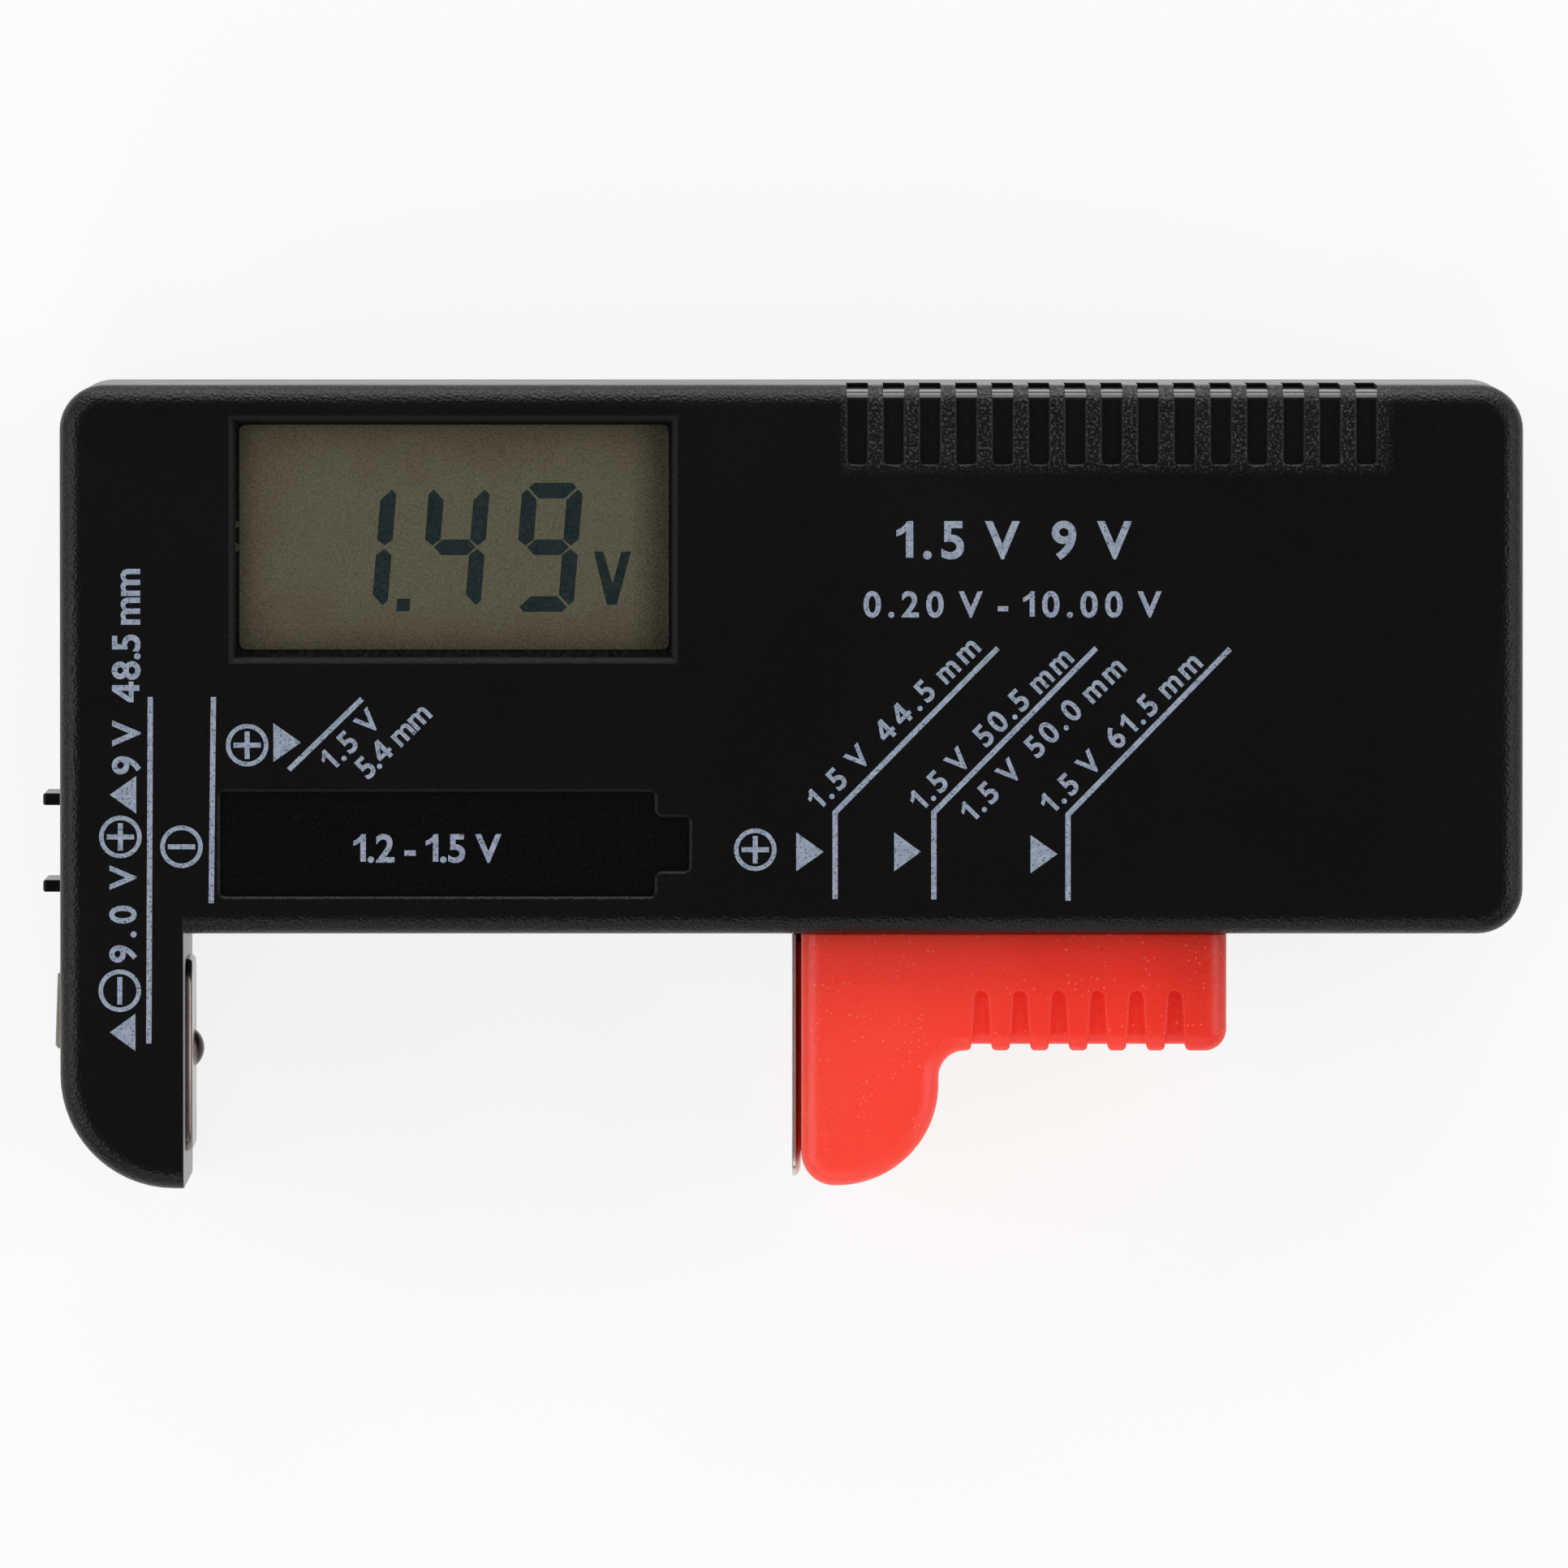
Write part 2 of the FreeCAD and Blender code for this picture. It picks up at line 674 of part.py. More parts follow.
def rear_shell():
    body = new_body("rear_shell")
    shell_walls(body, "rear", "0", "rear_depth", "rear_edge_round", front=False)

    rebate = sketch_on(body, "XY_Plane", "rear_depth", "rear_rebate")
    case_outline(rebate, "(wall / 2)")
    extrude(body, "Pocket", rebate, "lip_height + lip_gap")

    bosses = sketch_on(body, "XY_Plane", "wall / 2", "rear_bosses")
    circles(bosses, CASE_SCREWS, "boss_radius")
    extrude(body, "Pad", bosses, "rear_depth - wall / 2")
    holes = sketch_on(body, "XY_Plane", "0", "rear_holes")
    circles(holes, CASE_SCREWS, "case_screw_radius + screw_gap")
    extrude(body, "Pocket", holes, "rear_depth", other_way=True)
    sinks = sketch_on(body, "XY_Plane", "0", "rear_counterbores")
    circles(sinks, CASE_SCREWS, "case_head_radius + head_gap")
    extrude(body, "Pocket", sinks, "case_head_seat", other_way=True)

    ledge_x = (f"{STRIP_LEFT} - ledge_margin", f"{STRIP_RIGHT} + ledge_margin")
    block(body, "Additive", "rail_ledge", ledge_x, (FLOOR, STRIP_FRONT), ("wall", LEDGE_TOP))
    tab_x = (f"{STRIP_RIGHT} - strip_tab_length", STRIP_RIGHT)
    tab_y = (STRIP_FRONT, f"{STRIP_FRONT} + strip_tab_reach")
    block(body, "Additive", "rail_tab_ledge", tab_x, tab_y, ("wall", LEDGE_TOP))
    for label, x, y in stake_places():
        pin(body, f"{label}_stake", "stake_radius", "strip_thickness + stake_head", (x, y, LEDGE_TOP))

    guide_ribs(body, "rear", ("rear_depth - rib_depth / 2", "rear_depth"))
    slider_slot(body, "rear")
    contact_notches(body, "rear")
    return keep(body, "rear_shell")


def stake_places():
    """Moulded stakes that hold the rail strip, clear of the wiper's track."""
    edge = f"({STRIP_FRONT} - stake_edge)"
    right = f"({STRIP_RIGHT} - strip_tab_length - stake_inset)"
    return [("left", f"({STRIP_LEFT} + stake_inset)", edge), ("right", right, edge)]


# Screws, with the cross in the head as shares of the head's radius and height
CROSS_REACH = 0.62
CROSS_HALF_WIDTH = 0.14
CROSS_DEPTH = 0.6


def screw(name, x, y, seat, radius, length, head_radius, head_height):
    """A pan-head screw that points to the front, with a cross in its head."""
    head_back = f"{seat} - {head_height}"
    head = rod(f"{name}_head", head_radius, head_height, (x, y, head_back))
    root = f"{head_height} / 2"
    shank = rod(f"{name}_shank", radius, f"{length} + {root}", (x, y, f"{seat} - {root}"))
    blank = fuse(f"{name}_blank", [head, shank])
    reach, half_width = f"{head_radius} * {CROSS_REACH}", f"{head_radius} * {CROSS_HALF_WIDTH}"
    cross_z = (f"{head_back} - {head_height}", f"{head_back} + {head_height} * {CROSS_DEPTH}")
    level = box(f"{name}_level", around(x, reach), around(y, half_width), cross_z)
    upright = box(f"{name}_upright", around(x, half_width), around(y, reach), cross_z)
    return cut(name, blank, fuse(f"{name}_cross", [level, upright]))


def case_screws():
    thread, head = ("case_screw_radius", "case_screw_length"), ("case_head_radius", "case_head_height")
    sizes = ("case_head_seat", *thread, *head)
    made = [screw(f"case_screw_{i}", x, y, *sizes) for i, (x, y) in enumerate(CASE_SCREWS, start=1)]
    return keep(group("case_screw_set", made), "case_screws")


def board_screws():
    thread, head = ("board_screw_radius", "board_screw_length"), ("board_head_radius", "board_head_height")
    sizes = (BOARD_BACK, *thread, *head)
    made = [screw(f"board_screw_{i}", x, y, *sizes) for i, (x, y) in enumerate(BOARD_SCREWS, start=1)]
    return keep(group("board_screw_set", made), "board_screws")


# Display and circuit board
def display():
    film = new_body("lcd_front_polariser")
    film_sketch = sketch_on(film, "XY_Plane", FRONT_INSIDE, "film_sketch")
    film_x = ("window_left + film_gap_left", f"{WINDOW_RIGHT} - film_gap_right")
    film_y = (f"{WINDOW_BOTTOM} + film_gap_bottom", f"{WINDOW_TOP} - film_gap_top")
    rectangle(film_sketch, film_x, film_y, "film_corner")
    extrude(film, "Pad", film_sketch, "film_thickness")
    keep(film, "lcd_front_polariser")

    glass_x = (GLASS_LEFT, GLASS_RIGHT)
    glass = box("lcd_cell", glass_x, (GLASS_BOTTOM, GLASS_TOP), (GLASS_BACK, FRONT_INSIDE))
    keep(glass, "lcd_cell")

    back_film_back = f"{GLASS_BACK} - reflector_thickness"
    back_film_y = (f"{WINDOW_BOTTOM} - film_gap_bottom", GLASS_TOP)
    keep(box("lcd_rear_reflector", glass_x, back_film_y, (back_film_back, GLASS_BACK)), "lcd_rear_reflector")

    zebra_y = around(ZEBRA_MIDDLE, "zebra_width / 2")
    zebra = box("zebra_strip", ("window_left", WINDOW_RIGHT), zebra_y, (BOARD_FRONT, GLASS_BACK))
    keep(zebra, "zebra_strip")

    spacer_z = (BOARD_FRONT, f"{BOARD_FRONT} + spacer_thickness")
    frame = box("spacer_frame", glass_x, (GLASS_BOTTOM, GLASS_TOP), spacer_z)
    opening = box("spacer_opening", ("window_left", WINDOW_RIGHT), (WINDOW_BOTTOM, WINDOW_TOP), spacer_z)
    slot_x = ("window_left - zebra_gap", f"{WINDOW_RIGHT} + zebra_gap")
    slot_y = around(ZEBRA_MIDDLE, "(zebra_width / 2 + zebra_gap)")
    slot = box("spacer_slot", slot_x, slot_y, spacer_z)
    keep(cut("lcd_spacer", frame, fuse("spacer_cuts", [opening, slot])), "lcd_spacer")


def circuit_board():
    board = new_body("circuit_board")
    blank = sketch_on(board, "XY_Plane", BOARD_BACK, "board_sketch")
    rectangle(blank, ("board_left", BOARD_RIGHT), (BOARD_BOTTOM, BOARD_TOP))
    circles(blank, BOARD_SCREWS, "board_screw_radius + screw_gap")
    extrude(board, "Pad", blank, "board_thickness")
    return keep(board, "circuit_board")


def cap(thing, radius, height):
    """Makes a sphere into the round cap that has this radius and height, and returns the sphere's radius."""
    ball = f"(({radius} ^ 2 + {height} ^ 2) / (2 * {height}))"
    bind(thing, "Radius", ball)
    bind(thing, "Angle1", f"asin(({ball} - {height}) / {ball})")
    return ball


def components():
    """The parts on the back of the board, in two rows. Each stands on the board and points to the back."""
    blob_x = "(board_left + blob_from_left)"
    blob = doc.addObject("Part::Sphere", "controller_blob")
    blob.Placement.Rotation = Rotation(Vector(1, 0, 0), 180)
    ball = cap(blob, "blob_radius", "blob_height")
    place_at(blob, (blob_x, f"{BOARD_TOP} - blob_from_top", f"{BOARD_BACK} + {ball} - blob_height"))
    keep(blob, "controller_blob")

    upper_row = f"({BOARD_TOP} - upper_row_from_top)"
    filter_x = f"({blob_x} + blob_radius + component_gap + filter_can_radius)"
    can("filter_capacitor", filter_x, upper_row, "filter_can_radius", "filter_can_height")
    coil(f"({filter_x} + filter_can_radius + component_gap + coil_flange_radius)", upper_row)

    lower_row = f"({BOARD_BOTTOM} + lower_row_from_bottom)"
    resistor_x = "(board_left + resistor_from_left)"
    resistor_sizes = ("resistor_radius", "resistor_length")
    axial("cell_load_resistor", resistor_x, f"{lower_row} - resistor_pitch / 2", *resistor_sizes)
    axial("nine_volt_load_resistor", resistor_x, f"{lower_row} + resistor_pitch / 2", *resistor_sizes)
    resistor_end = f"{resistor_x} + resistor_length + 2 * lead_overhang"
    transistor_x = f"({resistor_end} + component_gap + transistor_radius)"
    transistor(transistor_x, lower_row)
    storage_x = f"({transistor_x} + transistor_radius + component_gap + storage_can_radius)"
    can("storage_capacitor", storage_x, lower_row, "storage_can_radius", "storage_can_height")
    diode_at = ("(board_left + diode_from_left)", f"{BOARD_BOTTOM} + diode_from_bottom")
    axial("rectifier_diode", *diode_at, "diode_radius", "diode_length")


def coil(x, y):
    """The step-up converter's drum core, with its winding between two flanges."""
    cap_back = f"{BOARD_BACK} - coil_height"
    foot_back = f"{BOARD_BACK} - coil_flange_height"
    winding = rod("coil_winding", "coil_radius", "coil_height", (x, y, cap_back))
    foot = rod("coil_foot", "coil_flange_radius", "coil_flange_height", (x, y, foot_back))
    top = rod("coil_top", "coil_flange_radius", "coil_flange_height", (x, y, cap_back))
    keep(fuse("boost_inductor", [winding, foot, top]), "boost_inductor")


def transistor(x, y):
    """A half-round moulded case on three legs."""
    case_z = (f"{BOARD_BACK} - transistor_stand - transistor_height", f"{BOARD_BACK} - transistor_stand")
    barrel = rod("transistor_barrel", "transistor_radius", "transistor_height", (x, y, case_z[0]))
    beyond = (f"{y} + transistor_flat", f"{y} + 2 * transistor_radius")
    flat_side = box("transistor_flat", around(x, "2 * transistor_radius"), beyond, case_z)
    half_round = cut("transistor_case", barrel, flat_side)
    leg_length = "(transistor_stand + lead_radius)"
    left, right = around(x, "transistor_pitch")
    legs = [
        rod(f"transistor_{name}", "lead_radius", leg_length, (place, y, f"{BOARD_BACK} - {leg_length}"))
        for name, place in (("left_leg", left), ("leg", x), ("right_leg", right))
    ]
    keep(fuse("boost_transistor", [half_round, *legs]), "boost_transistor")


def can(label, x, y, radius, height):
    """An electrolytic capacitor with the crimp of its can near the board."""
    barrel = rod(f"{label}_can", radius, height, (x, y, f"{BOARD_BACK} - {height}"))
    crimp = doc.addObject("Part::Torus", f"{label}_crimp")
    bind(crimp, "Radius1", radius)
    bind(crimp, "Radius2", "crimp_radius")
    place_at(crimp, (x, y, f"{BOARD_BACK} - crimp_rise"))
    keep(cut(label, barrel, crimp), label)


def axial(label, x, y, radius, length):
    """A two-lead component lying along x, on leads that go down to the board."""
    level = f"({BOARD_BACK} - axial_stand)"
    reach = f"({length} + 2 * lead_overhang)"
    pieces = [
        rod(f"{label}_barrel", radius, length, (f"{x} + lead_overhang", y, level), "x"),
        rod(f"{label}_lead", "lead_radius", reach, (x, y, level), "x"),
    ]
    for end, place in (("left", x), ("right", f"{x} + {reach}")):
        pieces.append(rod(f"{label}_{end}_leg", "lead_radius", "axial_stand", (place, y, level)))
        knee = doc.addObject("Part::Sphere", f"{label}_{end}_knee")
        bind(knee, "Radius", "lead_radius")
        place_at(knee, (place, y, level))
        pieces.append(knee)
    keep(fuse(label, pieces), label)


# Contacts
def negative_contact():
    """The plate on the arm's inner face, with a pip for the cell's flat end and a tab through the wall."""
    body = new_body("negative_contact")
    face = "(arm_width + pad_thickness)"
    outline_on_arm = sketch_on(body, "YZ_Plane", "arm_width", "pad_plate")
    rectangle(outline_on_arm, ("pad_rise", PAD_TOP), around("rear_depth", "plate_width / 2"), "plate_corner")
    plate = extrude(body, "Pad", outline_on_arm, "pad_thickness")
    round_edges(
        body,
        plate,
        "pad_edge_round",
        lambda bounds: near(bounds.XMin, face) and near(bounds.XMax, face),
        "pad_rim",
    )
    pip = body.newObject("PartDesign::AdditiveSphere", "pad_pip")
    pip.Placement.Rotation = Rotation(Vector(0, 1, 0), 90)
    ball = cap(pip, "pip_radius", "pip_height")
    place_at(pip, (f"{face} + pip_height - {ball}", "pip_rise", "rear_depth"))
    tab_z = around("rear_depth", "solder_tab")
    tab_y = around(PAD_TAB, "plate_thickness / 2")
    inner_x = ("arm_width - wall - plate_thickness", "arm_width - wall")
    block(body, "Additive", "pad_tab", (inner_x[0], "arm_width + pad_thickness / 2"), tab_y, tab_z)
    block(body, "Additive", "pad_foot", inner_x, (f"{PAD_TAB} - 2 * solder_tab", tab_y[1]), tab_z)
    return keep(body, "negative_contact")


def nine_volt_contacts():
    """A flush plate for the battery's stud and a leaf for its socket."""
    tab_z = around("rear_depth", "solder_tab")
    inner_x = ("wall", "wall + plate_thickness")

    stud = new_body("nine_volt_positive_contact")
    face = sketch_on(stud, "YZ_Plane", "button_sink", "button_face")
    face_y = around(POSITIVE_RISE, "button_height / 2")
    rectangle(face, face_y, around("rear_depth", "button_depth / 2"), "plate_thickness")
    extrude(stud, "Pad", face, "plate_thickness")
    tab_y = around(POSITIVE_RISE, "plate_thickness / 2")
    block(stud, "Additive", "button_tab", ("button_sink", inner_x[1]), tab_y, tab_z)
    block(stud, "Additive", "button_foot", inner_x, (tab_y[0], f"{POSITIVE_RISE} + 2 * solder_tab"), tab_z)
    keep(stud, "nine_volt_positive_contact")

    leaf = new_body("nine_volt_negative_contact")
    bottom = "(terminal_rise - leaf_height / 2)"
    side = sketch_on(leaf, "XY_Plane", "rear_depth - leaf_depth / 2", "leaf_side")
    polygon(
        side,
        [
            ("0", LEAF_TOP),
            ("-leaf_tip_proud", f"{LEAF_TOP} - plate_thickness / 2"),
            ("-leaf_proud", f"{bottom} + plate_thickness"),
            ("-leaf_tip_proud", bottom),
            ("0", bottom),
        ],
    )
    extrude(leaf, "Pad", side, "leaf_depth")
    leaf_y = around(LEAF_TAB, "plate_thickness / 2")
    block(leaf, "Additive", "leaf_tab", ("-plate_thickness / 4", inner_x[1]), leaf_y, tab_z)
    block(leaf, "Additive", "leaf_foot", inner_x, (f"{LEAF_TAB} - 2 * solder_tab", leaf_y[1]), tab_z)
    keep(leaf, "nine_volt_negative_contact")


def polygon(sketch, points):
    """A closed ring of straight lines through the points."""
    spots = [Vector(value(x), value(y)) for x, y in points]
    count = len(points)
    for i, (x, y) in enumerate(points):
        line = sketch.addGeometry(Part.LineSegment(spots[i], spots[(i + 1) % count]))
        hold(sketch, "DistanceX", x, -1, 1, line, 1)
        hold(sketch, "DistanceY", y, -1, 1, line, 1)
    for i in range(count):
        sketch.addConstraint(Sketcher.Constraint("Coincident", i, 2, (i + 1) % count, 1))


def rail_strip():
    """The brass strip on the rear shell's ledge, with a tab for its wire."""
    strip = new_body("rail_strip")
    blank = sketch_on(strip, "XY_Plane", LEDGE_TOP, "strip_sketch")
    outline(
        blank,
        [
            ("y", STRIP_BACK, None),
            ("x", STRIP_RIGHT, None),
            ("y", f"{STRIP_FRONT} + strip_tab_reach", None),
            ("x", f"{STRIP_RIGHT} - strip_tab_length", None),
            ("y", STRIP_FRONT, None),
            ("x", STRIP_LEFT, None),
        ],
    )
    circles(blank, [(x, y) for _, x, y in stake_places()], "stake_radius + screw_gap")
    extrude(strip, "Pad", blank, "strip_thickness")
    return keep(strip, "rail_strip")


# Slider
def slider_outline(sketch, inset):
    """The slider from the front, moved in by the inset: a ribbed bar with a thumb lobe under its left end."""
    outline(
        sketch,
        [
            ("y", f"slider_tip_gap + {inset}", f"{LOBE_ROUND} - {inset}"),
            ("x", f"{SLIDER_LEFT} + lobe_length - {inset}", f"lobe_throat_round + {inset}"),
            ("y", f"{BAR_BOTTOM} + {inset}", f"slider_corner - {inset}"),
            ("x", f"{SLIDER_RIGHT} - {inset}", None),
            ("y", SLIDER_TOP, None),
            ("x", f"{SLIDER_LEFT} + {inset}", f"lobe_toe_round - {inset}"),
        ],
    )


def slider_form(name, inset, edge_round):
    """A padded and rounded slider, whole or shrunk by the depth of its grip grooves."""
    body = new_body(name)
    back = f"({SLIDER_BACK} + {inset})"
    front = f"({SLIDER_BACK} + slider_depth - {inset})"
    side = sketch_on(body, "XY_Plane", back, f"{name}_side")
    slider_outline(side, inset)
    solid = extrude(body, "Pad", side, f"{front} - {back}")

    def rim(bounds):
        against_case = near(bounds.YMin, SLIDER_TOP)
        return bounds.ZLength < TOLERANCE and not against_case

    round_edges(body, solid, edge_round, rim, f"{name}_round")
    return body


def slider_body():
    """The red moulding: lobe, ribbed bar, and the neck and shoe that hold it in the case's slot."""
    whole = slider_form("slider_form", "0", "slider_edge_round")
    block(
        whole,
        "Additive",
        "slider_neck",
        (SLIDER_LEFT, NECK_RIGHT),
        (f"{SLIDER_TOP} - slider_top_gap", f"{SHOE_BOTTOM} + shoe_height / 2"),
        around("rear_depth", "neck_depth / 2"),
    )
    block(
        whole,
        "Additive",
        "slider_shoe",
        (SLIDER_LEFT, NECK_RIGHT),
        (SHOE_BOTTOM, SHOE_TOP),
        around("rear_depth", "shoe_depth / 2"),
    )
    plate_seat(whole)
    core = slider_form("slider_core", "grip_depth", "slider_edge_round - grip_depth")
    grooves = doc.addObject("Part::Extrusion", "grip_prisms")
    grooves.Base = grip_sketch()
    grooves.DirMode = "Normal"
    grooves.Solid = True
    bind(grooves, "LengthFwd", "slider_depth")
    doc.recompute()
    return keep(cut("slider_body", whole, cut("grip_cuts", grooves, core)), "slider_body")


def plate_seat(body):
    """The wedge on the slider's left face that backs the leaning contact plate."""
    back, front = around("rear_depth", "plate_width / 2")
    root = f"({SLIDER_LEFT} + contact_gap)"
    face = f"({front} - plate_seat_drop)"
    high = f"({SLIDER_TOP} - slider_top_gap - 2 * plate_thickness)"
    low = "(slider_tip_gap + lobe_toe_round)"
    section = sketch_on(body, "XZ_Plane", f"-{high}", "seat_section")
    polygon(
        section,
        [
            (root, back),
            (root, face),
            (f"{root} - plate_lean * (plate_width - plate_seat_drop) / plate_width", face),
        ],
    )
    extrude(body, "Pad", section, f"{high} - {low}")


def grip_sketch():
    """The tapered grip grooves as they show from the front, each with a round head and a foot that flares."""
    sketch = doc.addObject("Sketcher::SketchObject", "grip_sketch")
    bind(sketch, "Placement.Base.z", SLIDER_BACK)
    flare = "(grip_foot / 2 + grip_end_round)"
    foot_y = f"({BAR_BOTTOM} - grip_depth)"
    turn_y = f"({BAR_BOTTOM} + grip_end_round)"
    head_y = f"({BAR_BOTTOM} + grip_rise - grip_crest / 2)"
    for i in range(int(value("grip_count"))):
        middle = f"({SLIDER_RIGHT} - grip_margin - {i} * grip_pitch - grip_foot / 2)"
        corners = [
            (f"{middle} - grip_crest / 2", head_y),
            (f"{middle} - grip_foot / 2", turn_y),
            (f"{middle} - {flare}", BAR_BOTTOM),
            (f"{middle} - {flare}", foot_y),
            (f"{middle} + {flare}", foot_y),
            (f"{middle} + {flare}", BAR_BOTTOM),
            (f"{middle} + grip_foot / 2", turn_y),
            (f"{middle} + grip_crest / 2", head_y),
        ]
        rounds = {
            1: (f"{middle} - {flare}", turn_y, "grip_end_round", -math.pi / 2, 0.0),
            5: (f"{middle} + {flare}", turn_y, "grip_end_round", math.pi, 1.5 * math.pi),
            7: (middle, head_y, "grip_crest / 2", 0.0, math.pi),
        }
        spots = [Vector(value(x), value(y)) for x, y in corners]
        count = len(corners)
        ring = []
        for k in range(count):
            if k in rounds:
                x, y, radius, first, last = rounds[k]
                circle = Part.Circle(Vector(value(x), value(y)), Vector(0, 0, 1), value(radius))
                edge = sketch.addGeometry(Part.ArcOfCircle(circle, first, last))
                hold(sketch, "DistanceY", y, -1, 1, edge, 3)
            else:
                edge = sketch.addGeometry(Part.LineSegment(spots[k], spots[(k + 1) % count]))
            backwards = k in (1, 5)
            ring.append((edge, 2, 1) if backwards else (edge, 1, 2))
        for (edge, begin, _), (x, y) in zip(ring, corners):
            hold(sketch, "DistanceX", x, -1, 1, edge, begin)
            hold(sketch, "DistanceY", y, -1, 1, edge, begin)
        for k, (edge, _, finish) in enumerate(ring):
            after, begin, _ = ring[(k + 1) % count]
            sketch.addConstraint(Sketcher.Constraint("Coincident", edge, finish, after, begin))
    return sketch


def slider_contact():
    """One stamped strip: the plate that meets the cell, a tab through the slot and a wiper for the rail."""
    body = new_body("slider_contact")
    plate_back, plate_front = around("rear_depth", "plate_width / 2")
    shoulder = f"({SLIDER_TOP} - slider_top_gap)"
    section = sketch_on(body, "XZ_Plane", f"-{shoulder}", "contact_section")
    polygon(
        section,
        [
            (PLATE_LEFT, plate_front),
            (f"{PLATE_LEFT} + plate_lean", plate_back),
            (f"{PLATE_LEFT} + plate_lean + plate_thickness", plate_back),
            (f"{PLATE_LEFT} + plate_thickness", plate_front),
        ],
    )
    plate = extrude(body, "Pad", section, f"{shoulder} - plate_lift")

    def lower_corner(bounds):
        return near(bounds.YMin, "plate_lift") and near(bounds.YMax, "plate_lift") and bounds.ZLength < TOLERANCE

    round_edges(body, plate, "plate_corner", lower_corner, "contact_corners")

    tab_left = f"({PLATE_LEFT} + plate_lean / 2)"
    blank = sketch_on(body, "YZ_Plane", tab_left, "contact_tab")
    tab_back, tab_front = around("rear_depth", "tab_width / 2")
    wiper_low, wiper_high = around(WIPER_MIDDLE, "wiper_width / 2")
    leaf_back = f"({STRIP_TOP} + wiper_lift)"
    outline(
        blank,
        [
            ("x", f"{shoulder} - plate_thickness", None),
            ("y", tab_back, None),
            ("x", wiper_low, None),
            ("y", leaf_back, None),
            ("x", wiper_high, None),
            ("y", tab_front, None),
        ],
    )
    extrude(body, "Pad", blank, "plate_thickness")
    leaf_x = (tab_left, f"{PLATE_LEFT} + wiper_length")
    leaf_z = (leaf_back, f"{leaf_back} + plate_thickness")
    block(body, "Additive", "wiper_leaf", leaf_x, (wiper_low, wiper_high), leaf_z)
    tip_at = (f"{leaf_x[1]} - wiper_width", WIPER_MIDDLE, f"{STRIP_TOP} + contact_gap")
    pin(body, "wiper_tip", "wiper_tip_radius", "wiper_lift - contact_gap + plate_thickness / 2", tip_at)
    return keep(body, "slider_contact")


# Wires from the contacts to the board. A bend takes up this share of the shorter run beside it
RUN_SHARE = 0.45


def wire(label, points):
    """A round lead through the points, with each corner as large an arc as its two runs allow."""
    spots = [Vector(*(value(place) for place in point)) for point in points]
    radius = value("wire_radius")
    edges = []
    start = spots[0]
    for before, corner, after in zip(spots, spots[1:], spots[2:]):
        into = (corner - before).normalize()
        away = (after - corner).normalize()
        setback = RUN_SHARE * min((corner - before).Length, (after - corner).Length)
        arc_start, arc_end = corner - into * setback, corner + away * setback
        bisector = (away - into).normalize()
        half_turn = into.getAngle(away) / 2
        bend = setback / math.tan(half_turn)
        arc_middle = corner + bisector * (bend / math.cos(half_turn) - bend)
        print(f"{label}: bend radius {bend:.1f}")
        edges.append(Part.LineSegment(start, arc_start).toShape())
        edges.append(Part.Arc(arc_start, arc_middle, arc_end).toShape())
        start = arc_end
    edges.append(Part.LineSegment(start, spots[-1]).toShape())
    path = Part.Wire(edges)
    section = Part.Wire(Part.Circle(spots[0], spots[1] - spots[0], radius).toShape())
    tube = path.makePipeShell([section], True, False)
    expected = math.pi * radius**2 * path.Length
    print(f"{label}: volume {tube.Volume:.2f}, section times length {expected:.2f}")
    lead = doc.addObject("Part::Feature", label)
    lead.Shape = tube
    keep(lead, label)


